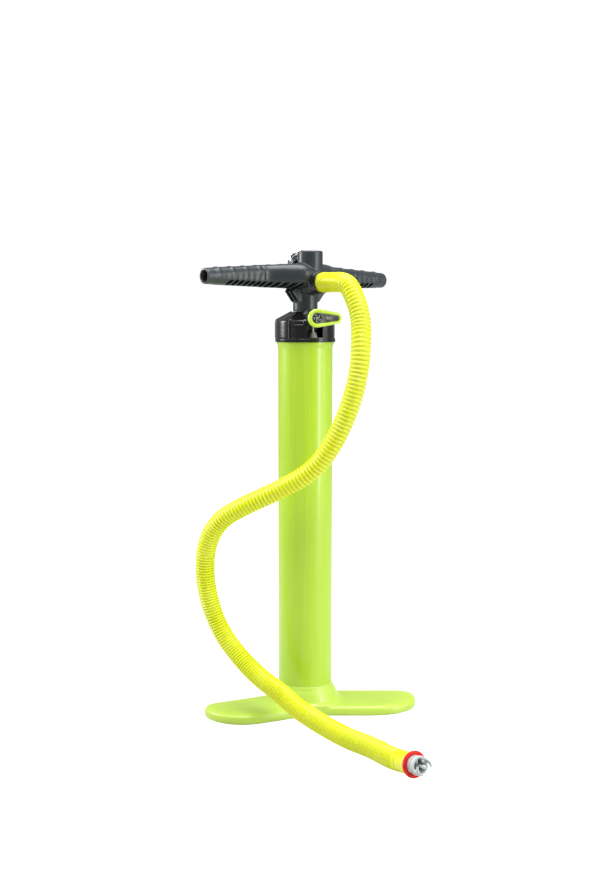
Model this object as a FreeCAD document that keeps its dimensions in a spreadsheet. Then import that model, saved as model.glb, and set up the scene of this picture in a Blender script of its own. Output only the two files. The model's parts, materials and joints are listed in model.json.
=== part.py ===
"""Double action hand pump, built as an assembly of separate pieces. Millimetres, +Z up.

The origin lies on the barrel's axis at floor level and the foot's long axis runs along X.
The cap, the handle and the nozzle are each built facing -Y and then turned about Z.
"""
import FreeCAD, Part
import math
import os
from FreeCAD import Placement, Rotation, Vector
from Sketcher import Constraint

doc = FreeCAD.newDocument("hand_pump")
sheet = doc.addObject("Spreadsheet::Sheet", "dims")


# ---------------------------------------------------------------- driving dimensions
class Size:
    """A number together with the spreadsheet expression that gives it."""

    def __init__(self, text, value):
        self.text = text
        self.value = value

    def _join(self, other, sign, result, swap=False):
        other = other if isinstance(other, Size) else Size(repr(float(other)), float(other))
        first, second = (other, self) if swap else (self, other)
        return Size(f"({first.text} {sign} {second.text})", result(first.value, second.value))

    def __add__(self, other):
        return self._join(other, "+", lambda a, b: a + b)

    def __radd__(self, other):
        return self._join(other, "+", lambda a, b: a + b, True)

    def __sub__(self, other):
        return self._join(other, "-", lambda a, b: a - b)

    def __rsub__(self, other):
        return self._join(other, "-", lambda a, b: a - b, True)

    def __mul__(self, other):
        return self._join(other, "*", lambda a, b: a * b)

    def __rmul__(self, other):
        return self._join(other, "*", lambda a, b: a * b, True)

    def __truediv__(self, other):
        return self._join(other, "/", lambda a, b: a / b)

    def __neg__(self):
        return self._join(0.0, "-", lambda a, b: a - b, True)


DIMENSIONS = {
    "barrel_radius": 35.0, "barrel_wall": 2.5, "barrel_top": 490.0, "barrel_foot": 46.0,
    "band_radius": 37.3, "band_height": 5.2,
    "wing_reach": 146.0, "wing_depth": 80.0, "wing_height": 13.0, "wing_sweep": 13.5,
    "wing_front_round": 40.0, "wing_back_round": 22.0,
    "collar_radius": 42.5, "spigot_height": 20.0, "socket_wall": 5.0,
    "slide_gap": 0.1, "running_gap": 0.05,
    "valve_thick": 1.2, "valve_lift": 2.0, "plate_thick": 6.0,
    "ring_section": 1.3,
    "rod_radius": 11.0, "rod_bore": 9.0, "bush_wall": 3.9,
    "piston_height": 32.0, "piston_plate": 7.0, "piston_wall": 5.0,
    "cap_radius": 38.3, "cap_rim_radius": 39.5, "cap_height": 26.5, "cap_slope": 11.5,
    "cap_wall": 2.6, "cap_angle": 6.0,
    "lever_height": 29.5, "lever_face": 41.0, "lever_thick": 5.0, "lever_big": 11.8,
    "lever_small": 7.4, "lever_reach": 26.0, "lever_ring": 2.6, "cam_throw": 3.0, "cam_radius": 6.0,
    "neck_radius": 16.0, "hub_radius": 16.5, "hub_forward": 9.3, "hub_height": 78.0,
    "handle_angle": 27.5, "bar_back": 14.0, "bar_reach": 154.0, "bar_centre": 46.0,
    "bar_depth": 28.0, "bar_height": 31.0, "grip_size": 20.0, "grip_drop": 2.6,
    "port_height": 37.0, "port_reach": 32.0, "collar_outer": 14.4, "hose_radius": 12.25,
    "hose_bore": 9.0, "cuff_radius": 12.9, "upper_cuff": 32.0, "lower_cuff": 20.0,
    "gauge_radius": 15.0, "gauge_depth": 9.0, "gauge_tilt": 40.0, "gauge_back": 15.5,
    "gauge_height": 69.0,
    "nozzle_angle": 14.0, "nozzle_rise": 9.0, "nozzle_height": 17.0, "nozzle_radius": 10.8, "gasket_radius": 15.4,
}
NOTES = {"wing_sweep": "degrees", "cap_angle": "degrees", "handle_angle": "degrees",
         "gauge_tilt": "degrees", "nozzle_angle": "degrees", "nozzle_rise": "degrees"}


class Dimensions:
    """Writes each driving size to the sheet and hands it out by name."""

    def __init__(self, table):
        for row, (name, value) in enumerate(table.items(), start=1):
            sheet.set(f"A{row}", name)
            sheet.set(f"B{row}", str(value))
            sheet.set(f"C{row}", NOTES.get(name, "mm"))
            sheet.setAlias(f"B{row}", name)
            setattr(self, name, Size(f"dims.{name}", value))


d = Dimensions(DIMENSIONS)
doc.recompute()

NODES = []          # every finished sub-part, in the order it is made


# ---------------------------------------------------------------- helpers
def text_of(value):
    return value.text if isinstance(value, Size) else repr(float(value))


def number(value):
    return value.value if isinstance(value, Size) else float(value)


def keep(thing, label):
    thing.Label = label
    NODES.append(thing)
    return thing


def origin_plane(body, role):
    return next(plane for plane in body.Origin.OriginFeatures if plane.Role == role)


def outline(body, plane, points, lift=0.0):
    """A closed sketch of straight sides whose corners are bound to sizes."""
    sketch = body.newObject("Sketcher::SketchObject", f"{body.Name}_outline")
    sketch.AttachmentSupport = [(origin_plane(body, plane), "")]
    sketch.MapMode = "FlatFace"
    sketch.setExpression(".AttachmentOffset.Base.z", text_of(lift))
    corners = [Vector(number(x), number(y), 0) for x, y in points]
    count = len(corners)
    for index, corner in enumerate(corners):
        sketch.addGeometry(Part.LineSegment(corner, corners[(index + 1) % count]), False)
    for index in range(count):
        sketch.addConstraint(Constraint("Coincident", index, 2, (index + 1) % count, 1))
    for index, place in enumerate(points):
        for kind, along in zip(("DistanceX", "DistanceY"), place):
            if number(along) == 0:
                axis = -2 if kind == "DistanceX" else -1
                sketch.addConstraint(Constraint("PointOnObject", index, 1, axis))
                continue
            which = sketch.addConstraint(
                Constraint(kind, -1, 1, index, 1, number(along)))
            sketch.setExpression(f"Constraints[{which}]", text_of(along))
    return sketch


def turned(label, points, wanted=True):
    """A body turned about Z from half a section, given as radius and height pairs."""
    body = doc.addObject("PartDesign::Body", label)
    section = outline(body, "XZ_Plane", points)
    solid = body.newObject("PartDesign::Revolution", f"{label}_turned")
    solid.Profile = section
    solid.ReferenceAxis = (section, ["V_Axis"])
    solid.Angle = 360
    body.Tip = solid
    return keep(body, label) if wanted else body


def block(kind, at=(0, 0, 0), tilt=None, **sizes):
    """One Part primitive with its sizes and its place bound to the sheet."""
    shape = doc.addObject(f"Part::{kind}", kind)
    if tilt:
        shape.Placement.Rotation = tilt
    for name, value in sizes.items():
        shape.setExpression(name, text_of(value))
    for axis, value in zip("xyz", at):
        shape.setExpression(f"Placement.Base.{axis}", text_of(value))
    return shape


def joined(label, pieces, wanted=False):
    whole = doc.addObject("Part::MultiFuse", label)
    whole.Shapes = pieces
    whole.Refine = True
    return keep(whole, label) if wanted else whole


def cut(label, base, tools, wanted=True):
    left = doc.addObject("Part::Cut", label)
    left.Base = base
    left.Tool = tools[0] if len(tools) == 1 else joined(f"{label}_tools", tools)
    left.Refine = True
    return keep(left, label) if wanted else left


def grouped(label, pieces):
    """A node of one or more separate solids, left as they are."""
    group = doc.addObject("Part::Compound", label)
    group.Links = pieces
    return keep(group, label)


def ring_of(count, radius, make, start=0.0):
    """Repeats a primitive on a circle of the given radius about Z."""
    pieces = []
    for index in range(count):
        angle = math.radians(start + 360.0 * index / count)
        pieces.append(make(radius * math.cos(angle), radius * math.sin(angle)))
    return pieces


def aimed(things, angle, seat=Placement(), at=Vector()):
    """Seats finished pieces in their group's frame, then turns the group about Z."""
    for thing in things:
        thing.Placement = Placement(at, Rotation(UP, number(angle))) * seat


UP = Vector(0, 0, 1)
FORWARD = Rotation(Vector(1, 0, 0), 90)       # a cylinder's height runs along -Y
ALONG_X = Rotation(Vector(0, 1, 0), 90)       # a cylinder's height runs along +X


def rod(radius, length, at, tilt=None):
    return block("Cylinder", at=at, tilt=tilt, Radius=radius, Height=length)


def tube(label, inner, outer, low, high):
    return turned(label, [(inner, low), (outer, low), (outer, high), (inner, high)])


def groove(radius, height):
    """The section of an O-ring's groove, as corners of the wall that it is cut in."""
    half = d.ring_section + d.slide_gap
    depth = radius - 2 * d.ring_section
    return [(radius, height - half), (depth, height - half),
            (depth, height + half), (radius, height + half)]


def o_ring(label, radius, height):
    """A seal that lies in the groove of the same radius and height."""
    ring = block("Torus", at=(0, 0, height), Radius1=radius - d.ring_section + d.running_gap,
                 Radius2=d.ring_section)
    return keep(ring, label)


# ---------------------------------------------------------------- foot and barrel
bore = d.barrel_radius - d.barrel_wall
plug = bore - d.slide_gap
chamber_floor = d.barrel_foot + d.spigot_height
plate_bottom = chamber_floor - d.plate_thick
socket = plug - d.socket_wall
ledge = socket - d.socket_wall
foot_seal_height = d.barrel_foot + d.spigot_height / 2


def wing(side):
    """One flat wing of the foot: a bar with round outer corners, swept towards -Y."""
    body = doc.addObject("PartDesign::Body", "wing")
    half = d.wing_depth / 2
    plan = outline(body, "XY_Plane", [(0, -half), (side * d.wing_reach, -half),
                                      (side * d.wing_reach, half), (0, half)])
    slab = body.newObject("PartDesign::Pad", "wing_slab")
    slab.Profile = plan
    slab.setExpression("Length", d.wing_height.text)
    body.Tip = slab
    doc.recompute()
    for radius, facing in ((d.wing_front_round, -1), (d.wing_back_round, 1)):
        corner = Vector(side * d.wing_reach.value, facing * half.value, 0)
        names = [f"Edge{index}" for index, edge in enumerate(body.Tip.Shape.Edges, start=1)
                 if all(math.hypot(v.X - corner.x, v.Y - corner.y) < 0.01 for v in edge.Vertexes)]
        sharp = body.Tip
        rounding = body.newObject("PartDesign::Fillet", "wing_corner")
        rounding.Base = (sharp, names)
        rounding.setExpression("Radius", radius.text)
        body.Tip = rounding
        doc.recompute()
    aimed([body], -side * d.wing_sweep)
    return body


def build_foot():
    base = 3.0
    bell = turned("bell", [
        (0, 0), (d.collar_radius, 0), (d.collar_radius, d.wing_height),
        (d.collar_radius - 1.5, d.wing_height * 2), (d.barrel_radius + 4.6, d.barrel_foot - 9),
        (d.barrel_radius + 2.8, d.barrel_foot - 3.5), (d.barrel_radius, d.barrel_foot),
        (plug, d.barrel_foot)] + groove(plug, foot_seal_height) + [
        (plug, chamber_floor), (socket, chamber_floor), (socket, plate_bottom),
        (ledge, plate_bottom), (ledge, base), (0, base)], wanted=False)
    whole = joined("foot_body", [bell, wing(1), wing(-1)])
    breathers = [rod(3.0, d.collar_radius, (x, 0, d.wing_height * 1.8), FORWARD.inverted())
                 for x in (-10, 0, 10)]
    inside = rod(ledge, plate_bottom - base, (0, 0, base))
    cut("foot", whole, breathers + [inside])


build_foot()
o_ring("foot_o_ring", plug, foot_seal_height)
turned("barrel", [(bore, d.barrel_foot), (d.barrel_radius, d.barrel_foot),
                  (d.barrel_radius, d.barrel_top - d.band_height),
                  (d.band_radius, d.barrel_top - d.band_height),
                  (d.band_radius, d.barrel_top), (bore, d.barrel_top)])


def holes(count, circle, radius, low, high):
    return ring_of(count, circle, lambda x, y: rod(radius, high - low, (x, y, low)))


stem = 2.0                        # the rubber stem that pulls a disc valve on to its plate
cut("intake_plate", rod(socket - d.slide_gap, d.plate_thick, (0, 0, plate_bottom)),
    holes(8, 14.0, 2.2, plate_bottom - 1, chamber_floor + 1)
    + [rod(stem + d.running_gap, d.plate_thick + 2, (0, 0, plate_bottom - 1))])
stem_end = plate_bottom - d.valve_lift - 2.5
turned("lower_intake_valve", [
    (0, stem_end), (stem + 1, stem_end), (stem + 1, stem_end + 2), (stem, stem_end + 2),
    (stem, chamber_floor), (19.0, chamber_floor), (19.0, chamber_floor + d.valve_thick),
    (0, chamber_floor + d.valve_thick)])

# ---------------------------------------------------------------- cylinder head and rod guide
head_bottom = d.barrel_top - 12.0
head_flange = d.barrel_top + 3.0
head_hub = d.barrel_top + 15.0
rod_fit = d.rod_radius + d.running_gap
bush_outer = rod_fit + d.bush_wall
bush_bore = bush_outer + d.running_gap
seal_low = head_bottom + 3.0
seal_top = seal_low + 4.0
hub_small = bush_outer - 1.5
ring_drop = d.valve_thick + d.valve_lift + 0.3
cap_inside = d.cap_radius - d.cap_wall

head = turned("head_body", [
    (d.rod_radius + 1, head_bottom - ring_drop - 1.5), (hub_small + 2, head_bottom - ring_drop - 1.5),
    (hub_small + 2, head_bottom - ring_drop), (hub_small, head_bottom - ring_drop),
    (hub_small, head_bottom), (plug, head_bottom)] + groove(plug, head_bottom + 6) + [
    (plug, d.barrel_top), (cap_inside - d.slide_gap, d.barrel_top),
    (cap_inside - d.slide_gap, head_flange), (bush_outer + 4, head_flange),
    (bush_outer + 4, head_hub), (bush_bore, head_hub), (bush_bore, seal_low),
    (d.rod_radius + 1, seal_low)], wanted=False)
cut("cylinder_head", head, holes(8, 22.5, 2.0, head_bottom - 1, head_flange + 1))
o_ring("head_o_ring", plug, head_bottom + 6)
tube("upper_intake_valve", hub_small + d.slide_gap, 26.0, head_bottom - d.valve_thick, head_bottom)
tube("rod_seal", rod_fit, bush_outer, seal_low, seal_top)
turned("rod_guide_bush", [
    (rod_fit, seal_top), (bush_outer, seal_top), (bush_outer, head_hub),
    (bush_outer + 3, head_hub), (bush_outer + 3, head_hub + 1.5), (rod_fit, head_hub + 1.5)])

# ---------------------------------------------------------------- cap and selector
cap_side = d.barrel_top + d.cap_height
cap_top = cap_side + d.cap_slope
lever_axis = d.barrel_top + d.lever_height
nipple_reach = 29.0
cam_back = 26.0
cam_front = cam_back + 6.0
cam_room = d.cam_radius + d.cam_throw + 0.4
boss_radius = cam_room + 1.8
shaft_radius = 4.0


def build_cap():
    shell = turned("cap_shell", [
        (cap_inside, d.barrel_top), (d.cap_rim_radius, d.barrel_top),
        (d.cap_rim_radius, d.barrel_top + 3), (d.cap_radius, d.barrel_top + 4),
        (d.cap_radius, cap_side), (d.neck_radius + 1, cap_top), (d.rod_radius + 0.6, cap_top),
        (d.rod_radius + 0.6, cap_top - d.cap_wall), (d.neck_radius, cap_top - d.cap_wall),
        (cap_inside, cap_side - 2)], wanted=False)
    boss = rod(boss_radius, d.lever_face - 0.5 - 20, (0, -20.0, lever_axis), FORWARD)
    cam_space = rod(cam_room, cam_front - cam_back + 1, (0, 0.5 - cam_back, lever_axis), FORWARD)
    below_cam = block("Box", at=(-cam_room, -cam_front - 0.5, lever_axis - cam_room - 4),
                      Length=2 * cam_room, Width=cam_front - cam_back + 1, Height=cam_room + 4)
    shaft_hole = rod(shaft_radius + d.running_gap, d.lever_face, (0, 0, lever_axis), FORWARD)
    rod_way = rod(d.rod_radius + 0.6, 40.0, (0, 0, cap_top - 39))
    window = block("Box", at=(-12.0, -d.cap_rim_radius - 1, d.barrel_top - 1),
                   Length=24.0, Width=12.0, Height=d.lever_height - boss_radius)
    cut("cap", joined("cap_body", [shell, boss]),
        [cam_space, below_cam, shaft_hole, rod_way, window])


def teardrop(label, big, small, back, front):
    """A flat drop shape that stands upright, its round end on the lever's axis."""
    body = doc.addObject("PartDesign::Body", "drop")
    sides = outline(body, "XZ_Plane", [(0, lever_axis - big), (d.lever_reach, lever_axis - small),
                                       (d.lever_reach, lever_axis + small), (0, lever_axis + big)],
                    lift=back)
    web = body.newObject("PartDesign::Pad", "drop_web")
    web.Profile = sides
    web.setExpression("Length", (front - back).text)
    body.Tip = web
    return joined(label, [body, rod(big, front - back, (0, -back, lever_axis), FORWARD),
                          rod(small, front - back, (d.lever_reach, -back, lever_axis), FORWARD)])


build_cap()
nipple_top = head_flange + 8.5
plunger_radius = 1.5
lobe_bottom = lever_axis - d.cam_radius - d.cam_throw
turned("vent_nipple", [
    (plunger_radius + d.running_gap, head_flange), (5.0, head_flange), (3.3, nipple_top),
    (plunger_radius + d.running_gap, nipple_top)])
grouped("vent_plunger", [rod(plunger_radius, lobe_bottom - 0.3 - head_flange - 1,
                             (0, 0, head_flange + 1))])
aimed(NODES[-2:], d.cap_angle, Placement(Vector(0, -nipple_reach, 0), Rotation()))

lever_back = d.lever_face
lever_front = d.lever_face + d.lever_thick
recess = lever_front - 2.0
shaft_end = recess - 0.1
drop_big = d.lever_big - d.lever_ring
drop_small = d.lever_small - d.lever_ring
screw_place = 14.7
cut("selector_lever", teardrop("lever_plate", drop_big, drop_small, lever_back, lever_front),
    [rod(shaft_radius + d.running_gap, lever_front, (0, 0, lever_axis), FORWARD),
     rod(6.3, 5.0, (0, -recess, lever_axis), FORWARD),
     rod(1.45, lever_front, (screw_place, 0, lever_axis), FORWARD)])
cut("selector_ring", teardrop("ring_plate", d.lever_big, d.lever_small, lever_back, lever_front),
    [teardrop("ring_hole", drop_big + d.running_gap, drop_small + d.running_gap,
              lever_back - 1, lever_front + 1)])
joined("selector_shaft", [
    rod(d.cam_radius, cam_front - cam_back, (0, -cam_back, lever_axis - d.cam_throw), FORWARD),
    rod(shaft_radius, shaft_end - cam_back, (0, -cam_back, lever_axis), FORWARD)], wanted=True)
grouped("vent_disc", [rod(6.2, 1.6, (0, -recess, lever_axis), FORWARD)])
joined("detent_screw", [
    rod(1.4, d.lever_thick, (screw_place, -lever_back, lever_axis), FORWARD),
    rod(2.6, 0.9, (screw_place, -lever_front, lever_axis), FORWARD)], wanted=True)
aimed([node for node in NODES if node.Label == "cap"] + NODES[-5:], d.cap_angle)

# ---------------------------------------------------------------- piston and rod
piston_low = chamber_floor + d.valve_thick + d.valve_lift + 1.0
base_top = piston_low + d.piston_plate
cup_top = piston_low + d.piston_height - 12.0
cover_top = cup_top + d.piston_plate
rod_socket = piston_low + d.piston_height
piston_radius = bore - 0.5
piston_groove = piston_radius - 3.2
seal_middle = piston_low + d.piston_plate - 1.5
cover_hub = hub_small
hub_end = cup_top - d.piston_plate + 1.0
screw_circle = piston_radius - 2.5
screw_hole = 1.3
screw_low = cup_top - 6.0


def on_cover(x, y):
    """One round-headed screw of the piston, standing on its cover."""
    shank = rod(screw_hole - d.slide_gap, cover_top - screw_low, (x, y, screw_low))
    return joined("cover_screw", [shank, rod(2.3, 1.6, (x, y, cover_top))])


pillar = 2.0                      # the pin that keeps the lower piston valve in place
base = turned("piston_base_body", [
    (0, piston_low), (piston_radius, piston_low), (piston_radius, seal_middle - 2.5),
    (piston_groove, seal_middle - 2.5), (piston_groove, seal_middle + 2.5),
    (piston_radius, seal_middle + 2.5), (piston_radius, cup_top),
    (piston_radius - d.piston_wall, cup_top), (piston_radius - d.piston_wall, base_top),
    (pillar, base_top), (pillar, base_top + 5), (0, base_top + 5)], wanted=False)
cut("piston_base", base, holes(6, 12.0, 2.2, piston_low - 1, base_top + 1)
    + holes(4, screw_circle, screw_hole, screw_low, cup_top + 1))
tube("lower_piston_valve", pillar + d.running_gap, 18.0, base_top, base_top + d.valve_thick)
cover = turned("piston_cover_body", [
    (d.rod_bore, hub_end), (cover_hub + 1.8, hub_end), (cover_hub + 1.8, hub_end + 1.5),
    (cover_hub, hub_end + 1.5), (cover_hub, cup_top), (piston_radius, cup_top),
    (piston_radius, cover_top), (cover_hub + 1.5, cover_top), (cover_hub + 1.5, rod_socket),
    (rod_fit, rod_socket), (rod_fit, cup_top + 1), (d.rod_bore, cup_top + 1)], wanted=False)
cut("piston_cover", cover, holes(6, 19.5, 2.2, cup_top - 1, cover_top + 1)
    + holes(4, screw_circle, screw_hole, cup_top - 1, cover_top + 1))
tube("upper_piston_valve", cover_hub + d.slide_gap, 25.0, cup_top - d.valve_thick, cup_top)
turned("piston_seal", [
    (piston_groove + d.running_gap, seal_middle - 2.4), (bore - d.running_gap, seal_middle - 2.4),
    (bore - d.running_gap, seal_middle - 1.2), (bore - 1, seal_middle),
    (bore - d.running_gap, seal_middle + 1.2), (bore - d.running_gap, seal_middle + 2.4),
    (piston_groove + d.running_gap, seal_middle + 2.4)])
grouped("piston_screws", ring_of(4, screw_circle, on_cover))

neck_bottom = cap_top + 0.2
port_axis = cap_top + d.port_height
rod_top = neck_bottom + 28.0
pin_height = neck_bottom + 14.0
pin_radius = 2.0
tube_body = turned("rod_tube", [
    (d.rod_bore, cup_top + 1), (d.rod_radius, cup_top + 1), (d.rod_radius, rod_top),
    (d.rod_bore, rod_top)], wanted=False)
pin_start = -(d.neck_radius - 1)
cut("piston_rod", tube_body, [rod(pin_radius + d.running_gap, 2 * d.neck_radius,
                                  (pin_start, 0, pin_height), ALONG_X)])
aimed(NODES[-1:], d.handle_angle)

# ---------------------------------------------------------------- handle
bar_axis = cap_top + d.bar_centre
hub_top = cap_top + d.hub_height
port_bore = d.hose_bore - 1
hand = len(NODES)


def bar_half(side):
    """One arm of the handle, tapering from the hub to the grip's end."""
    body = doc.addObject("PartDesign::Body", "arm")

    def section(depth, height, middle):
        half, low, high = depth / 2, middle - height / 2, middle + height / 2
        back = d.bar_back
        return [(back - half * 0.72, low), (back + half * 0.72, low),
                (back + half, low + height * 0.22), (back + half, high - height * 0.3),
                (back + half * 0.52, high), (back - half * 0.52, high),
                (back - half, high - height * 0.3), (back - half, low + height * 0.22)]

    root = outline(body, "YZ_Plane", section(d.bar_depth, d.bar_height, bar_axis))
    tip = outline(body, "YZ_Plane", section(d.grip_size, d.grip_size, bar_axis - d.grip_drop),
                  lift=side * d.bar_reach)
    arm = body.newObject("PartDesign::AdditiveLoft", "arm_loft")
    arm.Profile = root
    arm.Sections = [tip]
    arm.Ruled = True
    body.Tip = arm
    return body


def gusset():
    """The web that runs from the arms' underside down to the neck, on both sides."""
    body = doc.addObject("PartDesign::Body", "gusset")
    low = bar_axis - d.bar_height / 2
    web = outline(body, "XZ_Plane", [(-(d.neck_radius + 13), low + 2), (2 - d.neck_radius, low - 20),
                                     (d.neck_radius - 2, low - 20), (d.neck_radius + 13, low + 2)])
    slab = body.newObject("PartDesign::Pad", "gusset_web")
    slab.Profile = web
    slab.Length = 14
    slab.Midplane = True
    body.Tip = slab
    return body


def rib_cells():
    """The slanted pockets under the arms, cut from both faces down to a middle web."""
    cells = []
    lean = Rotation(Vector(0, 1, 0), 32)
    web = 2.0
    for index in range(12):
        for side in (-1, 1):
            start = side * (39.0 + 8.6 * index) - 2.8
            for near in (d.bar_back - d.bar_depth / 2 - 1, d.bar_back + web):
                cells.append(block("Box", at=(start, near, bar_axis - d.bar_height / 2 - 3), tilt=lean,
                                   Length=5.4, Width=d.bar_depth / 2 - web + 1, Height=10.5))
    return cells


gauge_seat = Placement(Vector(0, d.gauge_back.value - 6.5, (cap_top + d.gauge_height).value - 6.5),
                       Rotation(Vector(1, 0, 0), d.gauge_tilt.value - 90))


def build_handle():
    low, high = neck_bottom, bar_axis + d.bar_height / 2
    neck = rod(d.neck_radius, high - low, (0, 0, low))
    tower = rod(d.hub_radius, hub_top - port_axis + 14, (0, -d.hub_forward, port_axis - 14))
    boss = rod(d.cuff_radius, d.port_reach - 3, (0, 0, port_axis), FORWARD)
    solid = joined("handle_body", [neck, tower, boss, gusset(), bar_half(1), bar_half(-1)])
    socket_hole = rod(rod_fit, rod_top - low + 1, (0, 0, low - 1))
    air = rod(d.rod_bore, port_axis + port_bore + 1 - low, (0, 0, low))
    outlet = rod(port_bore, d.port_reach, (0, 0, port_axis), FORWARD)
    cross = rod(pin_radius + d.running_gap, 2 * d.neck_radius + 40, (-d.neck_radius - 20, 0, pin_height),
                ALONG_X)
    grip_holes = [rod(5.5, 15.0, (place, d.bar_back, bar_axis - d.grip_drop), ALONG_X)
                  for place in (d.bar_reach - 14, -d.bar_reach - 1)]
    seat = rod(d.gauge_radius - 1 + d.slide_gap, 40.0, (0, gauge_seat.Base.y, gauge_seat.Base.z),
               gauge_seat.Rotation)
    cut("handle", solid, [socket_hole, air, outlet, cross, seat] + grip_holes + rib_cells())


build_handle()
grouped("rod_pin", [rod(pin_radius, 2 * d.neck_radius - 2, (pin_start, 0, pin_height), ALONG_X)])

washer_at = d.port_reach - 3
cuff_at = washer_at + 1
cut("port_washer", rod(d.cuff_radius, 1.0, (0, -washer_at, port_axis), FORWARD),
    [rod(port_bore, 3.0, (0, 1 - washer_at, port_axis), FORWARD)])
collar_at = d.hub_forward + d.hub_radius + 0.2
cut("port_collar", rod(d.collar_outer, 7.0, (0, -collar_at, port_axis), FORWARD),
    [rod(d.cuff_radius + d.slide_gap, 9.0, (0, 1 - collar_at, port_axis), FORWARD)])
cut("upper_cuff", rod(d.cuff_radius, d.upper_cuff, (0, -cuff_at, port_axis), FORWARD),
    [rod(d.hose_bore, d.upper_cuff + 2, (0, 1 - cuff_at, port_axis), FORWARD)])
aimed(NODES[hand:], d.handle_angle)

# ---------------------------------------------------------------- pressure gauge
gauge = len(NODES)
case_radius = d.gauge_radius - 1
dial_radius = case_radius - 1.5
dial_floor = d.gauge_depth - 3.5
needle_low = dial_floor + 0.8 + 0.3
cut("gauge_case", rod(case_radius, d.gauge_depth, (0, 0, 0)),
    [rod(dial_radius + d.slide_gap, d.gauge_depth, (0, 0, dial_floor))])
cut("gauge_dial", rod(dial_radius, 0.8, (0, 0, dial_floor)), [rod(1.1, 4.0, (0, 0, dial_floor - 1))])
joined("gauge_needle", [
    rod(1.05, needle_low + 0.8 - dial_floor, (0, 0, dial_floor)), rod(1.6, 0.8, (0, 0, needle_low)),
    block("Box", at=(-0.5, -2.5, needle_low), Length=1.0, Width=11.5, Height=0.5)], wanted=True)
grouped("gauge_lens", [rod(dial_radius, 1.2, (0, 0, d.gauge_depth - 1.2))])
turned("gauge_bezel", [(dial_radius - 0.6, d.gauge_depth), (case_radius - 0.2, d.gauge_depth),
                       (case_radius - 0.2, d.gauge_depth + 1.6), (dial_radius - 0.6, d.gauge_depth + 1.6)])
aimed(NODES[gauge:], d.handle_angle, gauge_seat)

# ---------------------------------------------------------------- hose
HOSE_POINTS = [           # chosen by hand, from beside the port to the nozzle's cuff
    (37.2, -73.5, 561.4), (40.7, -83.7, 550.1), (44.8, -95.3, 530.7), (45.8, -102.9, 512),
    (43, -111.9, 491.9), (41.4, -114.9, 468.4), (37.4, -113.3, 439.4), (28.1, -107, 403.6),
    (13.4, -97, 365.3), (-8.2, -83.6, 330), (-45, -64.8, 305.4), (-85.6, -44.3, 284.2),
    (-118.7, -25.3, 263.4), (-135.1, -12.7, 229.9), (-136.5, -7.9, 184), (-128.4, -8.6, 144.1),
    (-114.1, -16.4, 109), (-94, -31.7, 81.2), (-73.8, -53.4, 60.6), (-53.7, -80.6, 47.4),
    (-37.1, -113.6, 33.5), (-16.7, -150.6, 24.5), (4.7, -189.2, 17.8), (25.9, -225.3, 16.7)]
hose_end = Vector(45.0, -280.0, d.nozzle_height.value)
straight_out = 6.4                # the hose's first and last runs follow the pieces they enter
straight_in = 24.0


def facing(distance, angle, height):
    turn = math.radians(number(angle))
    return Vector(distance * math.sin(turn), -distance * math.cos(turn), height)


def rounded_path(points):
    """Straight runs joined by tangent arcs, each as large as its two runs allow."""
    edges, start, radii = [], points[0], []
    for before, corner, after in zip(points, points[1:], points[2:]):
        back, ahead = before - corner, after - corner
        turn = math.pi - back.getAngle(ahead)
        setback = 0.45 * min(back.Length, ahead.Length)
        radii.append(setback / math.tan(turn / 2))
        back.normalize()
        ahead.normalize()
        first, last = corner + back * setback, corner + ahead * setback
        middle = corner + (back + ahead).normalize() * (
            radii[-1] / math.cos(turn / 2) - radii[-1])
        edges.append(Part.LineSegment(start, first).toShape())
        edges.append(Part.Arc(first, middle, last).toShape())
        start = last
    edges.append(Part.LineSegment(start, points[-1]).toShape())
    print("hose radii:", [round(radius) for radius in radii])
    return Part.Wire(edges)


def swept(path, radius):
    start = path.Edges[0]
    ring = Part.Wire([Part.Circle(start.Vertexes[0].Point, start.tangentAt(start.FirstParameter),
                                  radius).toShape()])
    return path.makePipeShell([ring], True, False)


def build_hose():
    cuff_end = (cuff_at + d.upper_cuff).value
    leaving = [facing(reach, d.handle_angle, port_axis.value)
               for reach in (cuff_end, cuff_end + straight_out)]
    rise = math.radians(number(d.nozzle_rise))
    last_run = facing(straight_in * math.cos(rise), d.nozzle_angle, straight_in * math.sin(rise))
    arriving = [hose_end - last_run, hose_end]
    path = rounded_path(leaving + [Vector(*point) for point in HOSE_POINTS] + arriving)
    wall = swept(path, d.hose_radius.value).cut(swept(path, d.hose_bore.value))
    section = math.pi * (d.hose_radius.value ** 2 - d.hose_bore.value ** 2)
    print("hose length", round(path.Length, 1), "volume ratio",
          round(wall.Volume / section / path.Length, 4))
    hose = doc.addObject("Part::Feature", "hose")
    hose.Shape = wall
    keep(hose, "hose")


build_hose()

# ---------------------------------------------------------------- nozzle, built from its cuff forwards
nozzle = len(NODES)
flange_at = d.lower_cuff
gasket_at = flange_at + 3.5
barrel_at = gasket_at + 3.5
crown_at = barrel_at + 11.0
tip_at = crown_at + 10.0
nozzle_bore = d.nozzle_radius - 3.0


def ahead(radius, start, length, height=0.0):
    return rod(radius, length, (0, -start, height), FORWARD)


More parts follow.
